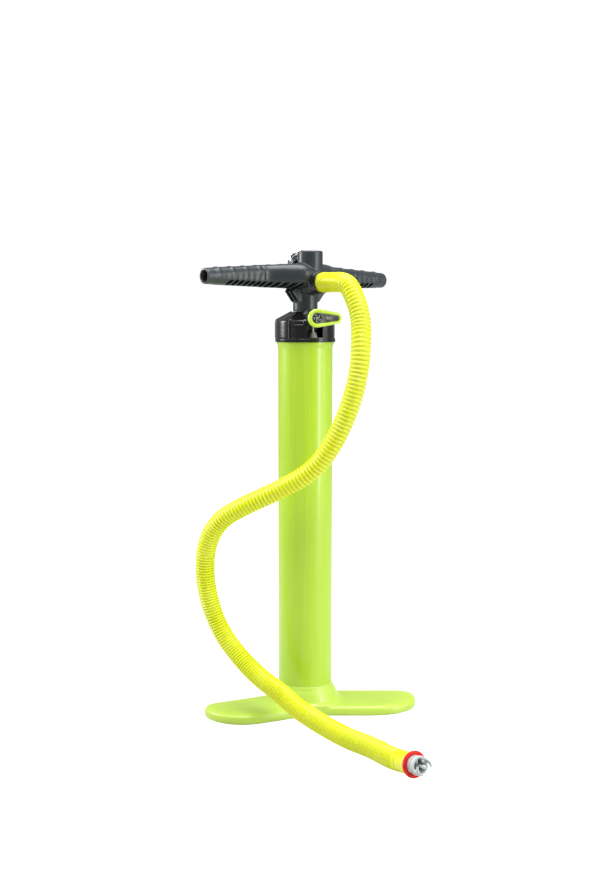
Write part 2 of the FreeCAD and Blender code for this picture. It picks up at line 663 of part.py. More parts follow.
cut("lower_cuff", ahead(d.cuff_radius, 0.0, d.lower_cuff),
    [ahead(d.hose_bore, -1.0, d.lower_cuff + 2)])
crown = cut("crown", ahead(d.nozzle_radius - 1.6, crown_at, tip_at - crown_at),
            [block("Box", at=(-20.0, -tip_at - 1, -3.5), Length=40.0, Width=tip_at - crown_at - 2,
                   Height=7.0)], wanted=False)
groove = d.nozzle_radius - 0.4
cut("nozzle_body", joined("nozzle_shape", [ahead(13.2, flange_at, 3.5), ahead(groove, gasket_at, 3.5),
                                           ahead(d.nozzle_radius, barrel_at, crown_at - barrel_at),
                                           crown]),
    [ahead(nozzle_bore, flange_at - 1, tip_at - flange_at + 2)])
cut("nozzle_gasket", ahead(d.gasket_radius, gasket_at, 3.5), [ahead(groove + 0.05, gasket_at - 1, 6.0)])
joined("nozzle_pin", [block("Box", at=(-1.5, -flange_at - 9, -nozzle_bore + 0.2), Length=3.0, Width=2.5,
                            Height=2 * nozzle_bore - 0.4),
                      ahead(1.6, flange_at + 6.5, tip_at - flange_at - 5.5)], wanted=True)
tipped_up = Placement(Vector(), Rotation(Vector(1, 0, 0), -number(d.nozzle_rise)))
aimed(NODES[nozzle:], d.nozzle_angle, tipped_up, at=hose_end)

# ---------------------------------------------------------------- check and write
def write_nodes():
    doc.recompute()
    failed = [thing.Label for thing in doc.Objects
              if any(word in ("Invalid", "Error") for word in thing.State)]
    broken = [node.Label for node in NODES if node.Shape.isNull() or not node.Shape.isValid()]
    if failed or broken:
        raise RuntimeError(f"failed objects {failed}, broken shapes {broken}")
    os.makedirs("parts", exist_ok=True)
    for node in NODES:
        node.Shape.exportStep(f"parts/{node.Label}.step")
    print(len(NODES), "nodes written")


write_nodes()
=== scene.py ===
"""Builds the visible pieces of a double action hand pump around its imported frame.

Sizes in the text are in millimetres unless a property says otherwise; the frame is in metres.
The cap, the handle and the nozzle are each made facing -Y and then turned about Z.
"""
import json
import math

import bmesh
import bpy
import numpy as np
from mathutils import Matrix, Vector


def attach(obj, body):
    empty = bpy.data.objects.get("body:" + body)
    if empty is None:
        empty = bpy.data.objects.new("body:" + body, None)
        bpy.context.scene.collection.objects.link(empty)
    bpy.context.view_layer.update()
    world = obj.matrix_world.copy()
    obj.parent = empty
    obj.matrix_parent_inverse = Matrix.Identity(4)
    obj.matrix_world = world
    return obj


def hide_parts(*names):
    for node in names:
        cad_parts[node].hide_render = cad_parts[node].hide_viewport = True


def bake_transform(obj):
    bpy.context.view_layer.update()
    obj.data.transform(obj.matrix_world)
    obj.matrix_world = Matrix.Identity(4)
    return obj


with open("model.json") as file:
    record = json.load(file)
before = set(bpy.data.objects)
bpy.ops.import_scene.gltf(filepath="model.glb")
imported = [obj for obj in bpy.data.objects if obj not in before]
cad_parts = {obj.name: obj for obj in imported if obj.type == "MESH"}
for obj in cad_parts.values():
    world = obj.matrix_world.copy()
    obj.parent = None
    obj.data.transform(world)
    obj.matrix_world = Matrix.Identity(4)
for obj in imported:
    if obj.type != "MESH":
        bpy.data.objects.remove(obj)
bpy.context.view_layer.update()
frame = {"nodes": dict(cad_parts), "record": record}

bl_info = {
    "name": "Hand pump",
    "version": (1, 0, 0),
    "blender": (4, 5, 0),
    "location": "View3D > Sidebar > Pump",
    "description": "Makes a double action hand pump piece by piece",
    "category": "Object",
}

MM = 0.001
HANDLE_ANGLE, CAP_ANGLE, NOZZLE_ANGLE = 27.5, 6.0, 14.0
NOZZLE_RISE = 9.0
SEAM, BARREL_TOP, CAP_TOP = 37.0, 490.0, 528.0
BARREL_RADIUS = 35.45
PORT_HEIGHT, BAR_HEIGHT, HUB_TOP = 565.0, 574.0, 606.0
BAR_BACK, BAR_REACH = 14.0, 154.0
LEVER_HEIGHT, LEVER_BACK, NIPPLE_REACH = 519.5, 41.0, 29.0
LEVER_BIG, LEVER_SMALL, LEVER_REACH, DETENT_REACH = 11.8, 7.4, 26.0, 14.7
WING_REACH = {1: 149.5, -1: 137.0}           # the right and the left wing, from the axis
WING_SWEEP = 13.5
WING_HALF = 40.0
CUFF_RADIUS = 12.9
LYING_FROM, LYING_OVER = 0.34, 0.2           # where the rings close up, as shares of the hose
VIEW_BEARING = 13.5
NEEDLE_REST = 135.0
HOSE_END = (45.0, -280.0, 17.0)
ROUTE = [                     # the hose's line, from the port's cuff to the nozzle's cuff
    (28.63, -54.99, 565), (31.59, -60.67, 565), (37.2, -73.5, 561.4), (40.7, -83.7, 550.1),
    (44.8, -95.3, 530.7), (45.8, -102.9, 512), (43, -111.9, 491.9), (41.4, -114.9, 468.4),
    (37.4, -113.3, 439.4), (28.1, -107, 403.6), (13.4, -97, 365.3), (-8.2, -83.6, 330),
    (-45, -64.8, 305.4), (-85.6, -44.3, 284.2), (-118.7, -25.3, 263.4), (-135.1, -12.7, 229.9),
    (-136.5, -7.9, 184), (-128.4, -8.6, 144.1), (-114.1, -16.4, 109), (-94, -31.7, 81.2),
    (-73.8, -53.4, 60.6), (-53.7, -80.6, 47.4), (-37.1, -113.6, 33.5), (-16.7, -150.6, 24.5),
    (4.7, -189.2, 17.8), (25.9, -225.3, 16.7), (39.27, -257, 13.25), HOSE_END]


def linear(red, green, blue):
    """A colour given from 0 to 255 as the linear values that materials take."""
    return tuple(((part / 255 + 0.055) / 1.055) ** 2.4 for part in (red, green, blue))


def colour(label, text, red, green, blue):
    return bpy.props.FloatVectorProperty(name=label, description=text, subtype="COLOR", size=3,
                                         min=0.0, max=1.0, default=linear(red, green, blue))


def size(label, text, default):
    return bpy.props.FloatProperty(name=label, description=text, default=default * MM,
                                   unit="LENGTH", precision=5)


def share(label, text, default):
    return bpy.props.FloatProperty(name=label, description=text, default=default, min=0.0)


# ---------------------------------------------------------------- what a user would change
class PumpColours(bpy.types.PropertyGroup):
    """Colours of the pump's mouldings"""
    barrel: colour("Barrel", "Colour of the barrel's gloss plastic", 172, 208, 34)
    foot: colour("Foot", "Colour of the foot's satin plastic", 180, 209, 76)
    trim: colour("Lever rim", "Colour of the rim round the mode lever", 196, 232, 44)
    hose: colour("Hose", "Colour of the hose and its cuffs", 214, 221, 6)
    cap: colour("Cap", "Colour of the cap's black plastic", 14, 16, 17)
    grip: colour("Handle", "Colour of the handle's grey plastic", 43, 49, 52)
    pale: colour("Nozzle", "Colour of the nozzle's pale plastic", 180, 187, 186)
    gasket: colour("Gasket", "Colour of the nozzle's gasket", 218, 18, 8)


class PumpHose(bpy.types.PropertyGroup):
    """Sizes of the corrugated hose"""
    diameter: size("Diameter", "Outside diameter over the rings", 25.5)
    open_pitch: size("Open pitch", "Distance between rings where the hose hangs", 5.0)
    closed_pitch: size("Closed pitch", "Distance between rings where the hose lies", 3.6)
    depth: size("Depth", "Depth of the grooves between the rings", 1.7)


class PumpHandle(bpy.types.PropertyGroup):
    """Sizes of the handle's moulded detail"""
    bump_pitch: size("Bump pitch", "Distance between the bumps over the grips", 21.0)
    bump_height: size("Bump height", "Height of the bumps over the grips", 0.8)
    cell_pitch: size("Cell pitch", "Distance between the slanted cells under the arms", 8.8)
    cell_count: bpy.props.IntProperty(name="Cells", description="Slanted cells under each arm",
                                      default=12, min=1)
    flute_depth: size("Flute depth", "Depth of the finger recess along the arms", 0.6)


class PumpCap(bpy.types.PropertyGroup):
    """Sizes of the cap's ribs"""
    rib_height: size("Rib height", "How far the cap's ribs stand out", 1.5)
    rib_width: size("Rib width", "Width of the cap's ribs", 2.6)


class PumpStudio(bpy.types.PropertyGroup):
    """Camera and lights"""
    lens: bpy.props.FloatProperty(name="Lens", description="Focal length", default=52.8,
                                  subtype="DISTANCE_CAMERA")
    strip: share("Strip light", "Power of the tall strip light in watts", 17.0)
    key: share("Key light", "Power of the large soft lights in watts", 9.0)
    sky: share("Sky", "Strength of the light from all round", 0.34)
    floor: share("Floor", "How strongly the pale floor glows", 0.95)


GROUPS = {"pump_colours": PumpColours, "pump_hose": PumpHose, "pump_handle": PumpHandle,
          "pump_cap": PumpCap, "pump_studio": PumpStudio}


# ---------------------------------------------------------------- materials
class Wire:
    """An output socket; arithmetic on it adds Math nodes to its material."""

    def __init__(self, recipe, socket):
        self.recipe = recipe
        self.socket = socket

    def _math(self, operation, first, second=0.0):
        return self.recipe.node("ShaderNodeMath", {"operation": operation}, {0: first, 1: second})

    def __add__(self, other):
        return self._math("ADD", self, other)

    def __radd__(self, other):
        return self._math("ADD", other, self)

    def __sub__(self, other):
        return self._math("SUBTRACT", self, other)

    def __rsub__(self, other):
        return self._math("SUBTRACT", other, self)

    def __mul__(self, other):
        return self._math("MULTIPLY", self, other)

    def __rmul__(self, other):
        return self._math("MULTIPLY", other, self)


class Recipe:
    """A material being made: its surface shader and the nodes that vary it."""

    def __init__(self, name, **constants):
        self.material = bpy.data.materials.new(name)
        self.material.use_nodes = True
        self.tree = self.material.node_tree
        self.shader = self.tree.nodes["Principled BSDF"]
        for socket, value in constants.items():
            self.surface(socket.replace("_", " "), value)

    def _put(self, socket, value):
        if isinstance(value, Wire):
            self.tree.links.new(value.socket, socket)
        else:
            socket.default_value = value

    def surface(self, socket, value):
        self._put(self.shader.inputs[socket], value)

    def node(self, kind, settings=None, inputs=None, output=0):
        """Adds one node: its settings first, then the values or links of its sockets."""
        node = self.tree.nodes.new(kind)
        for name, value in (settings or {}).items():
            setattr(node, name, value)
        for socket, value in (inputs or {}).items():
            self._put(node.inputs[socket], value)
        return Wire(self, node.outputs[output])

    def place(self, stretch=(1.0, 1.0, 1.0)):
        here = self.node("ShaderNodeTexCoord", output="Object")
        return self.node("ShaderNodeMapping", inputs={"Vector": here, "Scale": stretch})

    def noise(self, scale, detail=3.0, stretch=(1.0, 1.0, 1.0)):
        return self.node("ShaderNodeTexNoise", inputs={
            "Vector": self.place(stretch), "Scale": scale, "Detail": detail})

    def within(self, value, low, high, new_low=0.0, new_high=1.0):
        """value from low to high, mapped smoothly on to new_low to new_high."""
        return self.node("ShaderNodeMapRange", {"interpolation_type": "SMOOTHSTEP"}, {
            "Value": value, "From Min": low, "From Max": high, "To Min": new_low,
            "To Max": new_high})

    def tint(self, first, second, factor):
        """first where factor is 0 and second where it is 1, as colours."""
        return self.node("ShaderNodeMix", {"data_type": "RGBA"},
                         {0: factor, 6: opaque(first), 7: opaque(second)}, output=2)

    def edges(self):
        """1 along outer edges, 0 on flat faces."""
        point = self.node("ShaderNodeNewGeometry", output="Pointiness")
        return self.within(point, 0.512, 0.56)

    def relief(self, height, distance):
        self.surface("Normal", self.node("ShaderNodeBump", inputs={
            "Height": height, "Distance": distance * MM, "Strength": 1.0}))


def opaque(value):
    return value if isinstance(value, Wire) else (*value[:3], 1.0)


def shade(base, factor):
    """base made darker, or lighter towards white where factor is over 1."""
    if factor <= 1:
        return tuple(part * factor for part in base)
    return tuple(part + (1 - part) * (factor - 1) for part in base)


def moulded(name, base, rough, grain=0.02, grain_scale=2600.0, coat=0.0, wear=1.12, mottle=0.9,
            **constants):
    """Moulded plastic: faint mottling, paler rubbed edges, fine grain and a few scuffs."""
    recipe = Recipe(name, Coat_Roughness=0.12, IOR=1.48, **constants)
    cloud = recipe.within(recipe.noise(22.0, 4.0), 0.35, 0.65)
    body = recipe.tint(shade(base, mottle), base, cloud)
    fleck = recipe.within(recipe.noise(900.0, 2.0), 0.62, 0.8)
    body = recipe.tint(body, shade(base, wear), fleck * 0.25)
    rubbed = recipe.edges() * recipe.within(recipe.noise(140.0, 3.0), 0.3, 0.7)
    recipe.surface("Base Color", recipe.tint(body, shade(base, wear + 0.08), rubbed))
    scuff = recipe.within(recipe.noise(60.0, 6.0, (1.0, 1.0, 6.0)), 0.55, 0.75)
    recipe.surface("Roughness", rough + scuff * 0.10 + rubbed * 0.08)
    if coat:
        recipe.surface("Coat Weight", coat - scuff * coat * 0.35)
    recipe.relief(recipe.noise(grain_scale, 2.0) + scuff * 0.4, grain)
    return recipe.material


def gloss_tube(name, base):
    """The barrel: clear gloss over lime plastic, with faint lengthwise draw marks."""
    recipe = Recipe(name, IOR=1.5, Coat_Roughness=0.09)
    cloud = recipe.within(recipe.noise(9.0, 3.0, (1.0, 1.0, 0.4)), 0.35, 0.65)
    body = recipe.tint(shade(base, 0.95), base, cloud)
    streak = recipe.within(recipe.noise(420.0, 3.0, (1.0, 1.0, 0.02)), 0.4, 0.75)
    recipe.surface("Base Color", recipe.tint(body, shade(base, 1.06), streak * 0.5))
    scuff = recipe.within(recipe.noise(38.0, 7.0, (1.0, 1.0, 0.5)), 0.56, 0.74)
    recipe.surface("Roughness", 0.34 + streak * 0.05 + scuff * 0.12)
    recipe.surface("Coat Weight", 0.34 - scuff * 0.14)
    recipe.relief(streak + recipe.noise(1500.0, 2.0) * 0.4, 0.012)
    return recipe.material


def hose_plastic(name, base):
    """Soft blown plastic: painted highlight on the crests, painted shade in the grooves, a satin
    surface.
    """
    recipe = Recipe(name, IOR=1.47, Coat_Roughness=0.2)
    crest = recipe.node("ShaderNodeAttribute", {"attribute_name": "crest"}, output="Fac")
    # painted shade: the grooves are painted darker and deeper in colour, standing in for the shade
    # that falls in them
    groove_painted_shade = (base[0] * 0.84, base[1] * 0.88, base[2] * 0.3)
    body = recipe.tint(groove_painted_shade, base, recipe.within(crest, 0.0, 0.75))
    cloud = recipe.within(recipe.noise(30.0, 4.0), 0.4, 0.7)
    # painted highlight: pale patches towards white on the crests only
    recipe.surface("Base Color", recipe.tint(body, shade(base, 1.10), cloud * crest * 0.5))
    dust = recipe.within(recipe.noise(85.0, 5.0), 0.5, 0.75)
    recipe.surface("Roughness", 0.36 + dust * 0.14)
    recipe.surface("Coat Weight", 0.10 - dust * 0.06)
    recipe.relief(recipe.noise(1800.0, 2.0) + dust * 0.3, 0.02)
    return recipe.material


def seal_rubber(name, base, rough=0.55):
    recipe = Recipe(name, IOR=1.5, Specular_IOR_Level=0.22)
    bloom = recipe.within(recipe.noise(160.0, 5.0), 0.45, 0.75)
    recipe.surface("Base Color", recipe.tint(base, shade(base, 1.1), bloom * 0.6))
    recipe.surface("Roughness", rough + bloom * 0.18)
    recipe.relief(recipe.noise(2200.0, 3.0) + bloom * 0.3, 0.03)
    return recipe.material


def drawn_metal(name, base, rough, stretch):
    """Bright metal with fine marks along one direction."""
    recipe = Recipe(name, Metallic=1.0)
    marks = recipe.noise(900.0, 4.0, stretch)
    smear = recipe.within(recipe.noise(70.0, 5.0), 0.45, 0.7)
    recipe.surface("Base Color", recipe.tint(shade(base, 0.86), base, marks))
    recipe.surface("Roughness", rough + marks * 0.12 + smear * 0.08)
    recipe.relief(marks, 0.006)
    return recipe.material


def clear_glass(name):
    recipe = Recipe(name, Transmission_Weight=1.0, IOR=1.46, Base_Color=(0.96, 0.98, 0.98, 1.0))
    smear = recipe.within(recipe.noise(120.0, 4.0), 0.5, 0.8)
    recipe.surface("Roughness", 0.02 + smear * 0.06)
    return recipe.material


FINISHES = {}


def make_finishes():
    tone = bpy.context.scene.pump_colours
    FINISHES.update({
        "barrel_plastic": gloss_tube("barrel_gloss", tuple(tone.barrel)),
        "foot_plastic": moulded("foot_satin", tuple(tone.foot), 0.34, 0.035, 1500.0, 0.18, 1.12,
                                0.94),
        "lime_plastic": moulded("lime_rim", tuple(tone.trim), 0.3, 0.02, 2600.0, 0.3, 1.15, 0.94),
        "cap_plastic": moulded("cap_black", tuple(tone.cap), 0.24, 0.012, 2000.0, 0.0, 1.02, 0.8,
                               Specular_IOR_Level=0.45),
        "grey_plastic": moulded("handle_grey", tuple(tone.grip), 0.34, 0.02, 1700.0, 0.0, 1.015,
                                0.86, Specular_IOR_Level=0.5),
        "cone_plastic": moulded("cone_grey", (0.30, 0.31, 0.29), 0.3, 0.02, 2200.0),
        "lever_plastic": moulded("lever_grey", (0.030, 0.034, 0.035), 0.4, 0.02, 2200.0),
        "vane_plastic": moulded("vane_grey", (0.34, 0.37, 0.37), 0.3, 0.02, 2200.0),
        "inner_plastic": moulded("inner_black", (0.010, 0.010, 0.011), 0.42,
                                 Specular_IOR_Level=0.3),
        "bush_plastic": moulded("bush_white", (0.78, 0.78, 0.74), 0.35),
        "light_plastic": moulded("nozzle_pale", tuple(tone.pale), 0.33, 0.02, 2400.0, 0.15, 1.2,
                                 0.9),
        "hose_plastic": hose_plastic("hose_blown", tuple(tone.hose)),
        "red_rubber": seal_rubber("gasket_red", tuple(tone.gasket), 0.38),
        "seal_rubber": seal_rubber("seal_black", (0.012, 0.012, 0.012)),
        "rod_aluminium": drawn_metal("rod_drawn", (0.80, 0.81, 0.82), 0.2, (1.0, 1.0, 0.02)),
        "screw_steel": drawn_metal("screw_plated", (0.60, 0.60, 0.58), 0.28, (1.0, 1.0, 1.0)),
        "dull_steel": drawn_metal("screw_dull", (0.36, 0.37, 0.36), 0.35, (1.0, 1.0, 1.0)),
        "bezel_metal": drawn_metal("bezel_bright", (0.86, 0.86, 0.86), 0.08, (1.0, 1.0, 1.0)),
        "dial_face": moulded("dial_white", (0.86, 0.86, 0.84), 0.5, 0.01),
        "dial_ink": moulded("dial_ink", (0.01, 0.01, 0.012), 0.5, 0.01),
        "needle_paint": moulded("needle_red", (0.55, 0.02, 0.015), 0.35, 0.01),
        "clear_lens": clear_glass("lens_clear"),
    })


# ---------------------------------------------------------------- mesh helpers
def linked(name, mesh):
    made = bpy.data.objects.new(name, mesh)
    bpy.context.scene.collection.objects.link(made)
    return made


def solid(name, points, faces):
    """A closed mesh from points in millimetres, its faces turned outwards."""
    mesh = bpy.data.meshes.new(name)
    mesh.from_pydata([tuple(point) for point in np.asarray(points, float) * MM], [],
                     [tuple(face) for face in faces])
    work = bmesh.new()
    work.from_mesh(mesh)
    bmesh.ops.remove_doubles(work, verts=work.verts, dist=1e-6)
    bmesh.ops.recalc_face_normals(work, faces=work.faces)
    work.to_mesh(mesh)
    work.free()
    return linked(name, mesh)


def skinned(name, rings, looped=False):
    """Quads over rings of equally many points; ends are filled, or the last joins the first."""
    rings = np.asarray(rings, float)
    count, around = rings.shape[:2]
    rows = range(count) if looped else range(count - 1)
    faces = [(row * around + k, row * around + (k + 1) % around,
              (row + 1) % count * around + (k + 1) % around, (row + 1) % count * around + k)
             for row in rows for k in range(around)]
    if not looped:
        faces += [list(range(around)), list(range((count - 1) * around, count * around))]
    return solid(name, rings.reshape(-1, 3), faces)


def softened(corners, steps=5):
    """A profile whose corners, given as (radius, height, fillet), are rounded."""
    line = []
    for index, corner in enumerate(corners):
        here, fillet = np.array(corner[:2], float), (corner[2] if len(corner) > 2 else 0)
        if not fillet:
            line.append(here)
            continue
        before = np.array(corners[index - 1][:2], float) - here
        after = np.array(corners[(index + 1) % len(corners)][:2], float) - here
        lengths = np.linalg.norm(before), np.linalg.norm(after)
        before, after = before / lengths[0], after / lengths[1]
        half = math.acos(np.clip(before @ after, -1, 1)) / 2
        back = min(fillet / math.tan(half), 0.49 * min(lengths))
        start, end = here + before * back, here + after * back
        for step in np.linspace(0, 1, steps + 1):
            line.append((1 - step) ** 2 * start + 2 * step * (1 - step) * here + step ** 2 * end)
    return line


def lathe(name, profile, steps=144, looped=True, shape=None):
    """A turned piece about Z. shape(angles, radius, height) may change its radius and height."""
    angles = np.linspace(0, 2 * math.pi, steps, endpoint=False)
    rings = []
    for radius, height in profile:
        r, z = np.full(steps, float(radius)), np.full(steps, float(height))
        if shape:
            r, z = shape(angles, r, z)
        rings.append(np.stack([r * np.sin(angles), -r * np.cos(angles), z], axis=1))
    return skinned(name, rings, looped)


def ahead(start=0.0, height=0.0):
    """Lays a turned piece along -Y, start in front of the axis and at that height."""
    place = Matrix.Translation((0, -start * MM, height * MM))
    return place @ Matrix.Rotation(math.radians(90), 4, "X")


def turned(degrees):
    return Matrix.Rotation(math.radians(degrees), 4, "Z")


def moved(x=0.0, y=0.0, z=0.0):
    return Matrix.Translation((x * MM, y * MM, z * MM))


def at_nozzle():
    """Takes a piece turned about Z to the end of the hose, tipped up and turned."""
    return (ahead(), Matrix.Rotation(math.radians(-NOZZLE_RISE), 4, "X"), turned(NOZZLE_ANGLE),
            moved(*HOSE_END))


def placed(piece, *steps):
    """Moves the piece's own mesh by each matrix in order."""
    for step in steps:
        piece.data.transform(step)
    return piece


def baked(piece):
    """The piece with its modifiers applied."""
    bpy.context.view_layer.update()
    seen = piece.evaluated_get(bpy.context.evaluated_depsgraph_get())
    mesh = bpy.data.meshes.new_from_object(seen)
    piece.modifiers.clear()
    old, piece.data = piece.data, mesh
    bpy.data.meshes.remove(old)
    return piece


def changed(piece, kind, **settings):
    """The piece after one modifier of that kind."""
    modifier = piece.modifiers.new(kind.lower(), kind)
    for name, value in settings.items():
        setattr(modifier, name, value)
    return baked(piece)


def gathered(name, pieces):
    """One object that holds the meshes of all the pieces, which are removed."""
    work = bmesh.new()
    for piece in pieces:
        work.from_mesh(piece.data)
    mesh = bpy.data.meshes.new(name)
    work.to_mesh(mesh)
    work.free()
    for piece in pieces:
        bpy.data.objects.remove(piece)
    return linked(name, mesh)


def fused(name, pieces, voxel, passes):
    """The pieces as one moulding with soft fillets where they meet."""
    whole = changed(gathered(name, pieces), "REMESH", mode="VOXEL", voxel_size=voxel * MM)
    return changed(whole, "SMOOTH", factor=0.5, iterations=passes)


def carved(piece, cutters, operation="DIFFERENCE", solver="MANIFOLD"):
    """The piece with the cutters taken away from it, or joined to it."""
    tool = gathered("cutters", cutters) if len(cutters) > 1 else cutters[0]
    before = len(piece.data.polygons)
    whole = piece.data.copy()
    changed(piece, "BOOLEAN", operation=operation, object=tool, solver=solver)
    if len(piece.data.polygons) in (0, before):
        piece.data = whole
        changed(piece, "BOOLEAN", operation=operation, object=tool, solver="EXACT",
                use_self=len(cutters) > 1)
    bpy.data.objects.remove(tool)
    return piece


def bevelled(piece, width, segments=3, angle=35.0):
    return changed(piece, "BEVEL", width=width * MM, segments=segments, limit_method="ANGLE",
                   angle_limit=math.radians(angle), harden_normals=False)


def finished(piece, body, slot, nodes=(), finish=None, angle=40.0):
    """Shades the piece, gives it its finish and lets it ride on its body in place of its nodes."""
    for face in piece.data.polygons:
        face.use_smooth = True
    piece.data.set_sharp_from_angle(angle=math.radians(angle))
    piece.data.materials.clear()
    piece.data.materials.append(FINISHES[finish or slot])
    if body:
        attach(piece, body)
    if nodes:
        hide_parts(*nodes)
    return piece


BOX_FACES = [(0, 1, 2, 3), (4, 5, 6, 7), (0, 1, 5, 4), (1, 2, 6, 5), (2, 3, 7, 6), (3, 0, 4, 7)]


def box(name, low, high):
    (a, b, c), (x, y, z) = low, high
    return solid(name, [(a, b, c), (x, b, c), (x, y, c), (a, y, c), (a, b, z), (x, b, z), (x, y, z),
                        (a, y, z)],
                 BOX_FACES)


def rod(name, radius, low, high, steps=64, lip=0.0):
    """A plain round bar along Z whose ends have lips of that radius."""
    return lathe(name, softened([(0, low), (radius, low, lip), (radius, high, lip), (0, high)]),
                 steps, looped=False)


def smooth_step(value):
    value = np.clip(value, 0.0, 1.0)
    return value * value * (3 - 2 * value)


def bump_at(distance, width):
    """1 at no distance, falling smoothly to 0 at half the width."""
    return smooth_step(1 - np.abs(distance) * 2 / width)


# ---------------------------------------------------------------- hose
def hose_line():
    """The hose's centreline, read from its smooth curve, in metres."""
    curve = bpy.data.curves.new("hose_line", "CURVE")
    curve.dimensions = "3D"
    spline = curve.splines.new("NURBS")
    spline.points.add(len(ROUTE) - 1)
    for point, place in zip(spline.points, ROUTE):
        point.co = (*[part * MM for part in place], 1.0)
    spline.order_u = 3
    spline.use_endpoint_u = True
    spline.resolution_u = 24
    guide = linked("hose_guide", curve)
    bpy.context.view_layer.update()
    seen = guide.evaluated_get(bpy.context.evaluated_depsgraph_get())
    mesh = bpy.data.meshes.new_from_object(seen)
    line = np.array([tuple(vertex.co) for vertex in mesh.vertices])
    bpy.data.objects.remove(guide)
    bpy.data.meshes.remove(mesh)
    return line


def along(line, stations):
    """Points and directions at those distances along the line."""
    steps = np.linalg.norm(np.diff(line, axis=0), axis=1)
    travelled = np.concatenate([[0], np.cumsum(steps)])
    points = np.stack([np.interp(stations, travelled, line[:, axis]) for axis in range(3)], axis=1)
    headings = np.gradient(points, axis=0)
    return points, headings / np.linalg.norm(headings, axis=1)[:, None]


def carried_frames(headings):
    """A sideways and an upward direction at each heading, carried along without twist."""
    side = np.cross(headings[0], (0, 0, 1.0))
    sides = []
    for heading in headings:
        side = side - heading * (side @ heading)
        side = side / np.linalg.norm(side)
        sides.append(side)
    sides = np.array(sides)
    return sides, np.cross(sides, headings)


class PUMP_OT_hose(bpy.types.Operator):
    """Make the corrugated hose along its route"""
    bl_idname = "pump.hose"
    bl_label = "Hose"

    def execute(self, context):
        setting = context.scene.pump_hose
        line = hose_line()
        length = float(np.linalg.norm(np.diff(line, axis=0), axis=1).sum())
        fine = np.linspace(0, length, 3000)
        lying = smooth_step((fine / length - LYING_FROM) / LYING_OVER)
        pitch = setting.open_pitch + (setting.closed_pitch - setting.open_pitch) * lying
        phase = np.concatenate([[0], np.cumsum(np.diff(fine) / pitch[:-1])])
        rings = math.floor(phase[-1])
        phase *= rings / phase[-1]
        samples = 10
        stations = np.interp(np.arange(rings * samples + 1) / samples, phase, fine)
        points, headings = along(line, stations)
        sides, ups = carried_frames(headings)
        wave = np.arange(rings * samples + 1) / samples % 1.0
        crest = 0.5 - 0.5 * np.cos(2 * math.pi * wave)
        crest = crest ** 0.75
        fade = smooth_step(stations / 0.028) * smooth_step((length - stations) / 0.010)
        depth = setting.depth * fade * (0.85 + 0.15 * np.cos(stations * 90))
        radius = setting.diameter / 2 - depth * (1 - crest)
        around = 56
        angles = np.linspace(0, 2 * math.pi, around, endpoint=False)
        ring = (sides[:, None, :] * np.cos(angles)[None, :, None]
                + ups[:, None, :] * np.sin(angles)[None, :, None])
        surface = points[:, None, :] + ring * radius[:, None, None]
        hose = skinned("hose_corrugated", surface / MM)
        # the crest attribute is the mask for the hose plastic's painted shade in the grooves and
        # painted highlight on the crests
        paint = hose.data.attributes.new("crest", "FLOAT", "POINT")
        crest_light_mask = np.repeat(1 - (1 - crest) * fade, around)
        paint.data.foreach_set("value", crest_light_mask[:len(hose.data.vertices)].astype(np.float32))
        finished(hose, None, "hose_plastic", angle=80.0)
        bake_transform(hose)
        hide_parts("hose")
        return {"FINISHED"}


class PUMP_OT_cuffs(bpy.types.Operator):
    """Make the hose's two smooth cuffs and the port's collar"""
    bl_idname = "pump.cuffs"
    bl_label = "Cuffs"

    def execute(self, context):
        upper = lathe("cuff_upper", softened([
            (9.0, 0), (CUFF_RADIUS - 0.1, 0), (CUFF_RADIUS - 0.1, 5), (CUFF_RADIUS + 0.25, 6, 1),
            (CUFF_RADIUS + 0.25, 9, 1), (CUFF_RADIUS - 0.2, 11, 2), (CUFF_RADIUS - 0.3, 29, 2),
            (12.1, 32.2, 1), (9.0, 32.2)]))
        placed(upper, ahead(30.0, PORT_HEIGHT), turned(HANDLE_ANGLE))
        finished(plain_crest(upper), "handle_group", "hose_plastic", ["upper_cuff"])
        lower = lathe("cuff_lower", softened([
            (9.0, -0.2), (12.0, -0.2, 0.6), (12.5, 1.4, 0.8), (CUFF_RADIUS - 0.2, 3, 1),
            (CUFF_RADIUS - 0.2, 16.5, 1), (CUFF_RADIUS + 0.1, 17.5, 0.5),
            (CUFF_RADIUS + 0.1, 20, 0.5), (9.0, 20)]))
        placed(lower, *at_nozzle())
        finished(plain_crest(lower), "swivel", "hose_plastic", ["lower_cuff"])
        collar = lathe("port_ring", softened([
            (13.0, 25.4), (14.9, 25.4, 0.6), (14.9, 28, 0.5), (14.2, 28.6, 0.3), (14.2, 30, 0.3),
            (14.8, 30.6, 0.4), (14.8, 33.2, 0.9), (13.0, 33.2, 0.4)]))
        placed(collar, ahead(0, PORT_HEIGHT), turned(HANDLE_ANGLE))
        finished(collar, "handle_group", "cap_plastic", ["port_collar"])
        return {"FINISHED"}


def plain_crest(piece):
    """Paints the piece as all crest, for the hose's own plastic, so it gets no painted groove
    shade.
    """
    paint = piece.data.attributes.new("crest", "FLOAT", "POINT")
    paint.data.foreach_set("value", np.ones(len(piece.data.vertices), np.float32))
    return piece


# ---------------------------------------------------------------- foot and barrel
def smooth_line(points, steps=6):
    """A smooth line through the points, by steps between each two."""
    points = [np.array(point, float) for point in points]
    ends = [2 * points[0] - points[1], *points, 2 * points[-1] - points[-2]]
    line = []
    for a, b, c, d in zip(ends, ends[1:], ends[2:], ends[3:]):
        for t in np.linspace(0, 1, steps, endpoint=False):
            line.append(0.5 * (2 * b + (c - a) * t + (2 * a - 5 * b + 4 * c - d) * t ** 2
                               + (3 * b - a - 3 * c + d) * t ** 3))
    return np.array(line + [points[-1]])


WING_TIP = [(60, -40), (80, -40), (95, -39.4), (106, -37.6), (117, -34), (128, -27.6),
            (138, -18.5), (145, -7.5), (149, 4), (150, 13), (149, 22), (145.5, 30), (139, 36),
            (130, 39.3), (118, 40), (60, 40)]


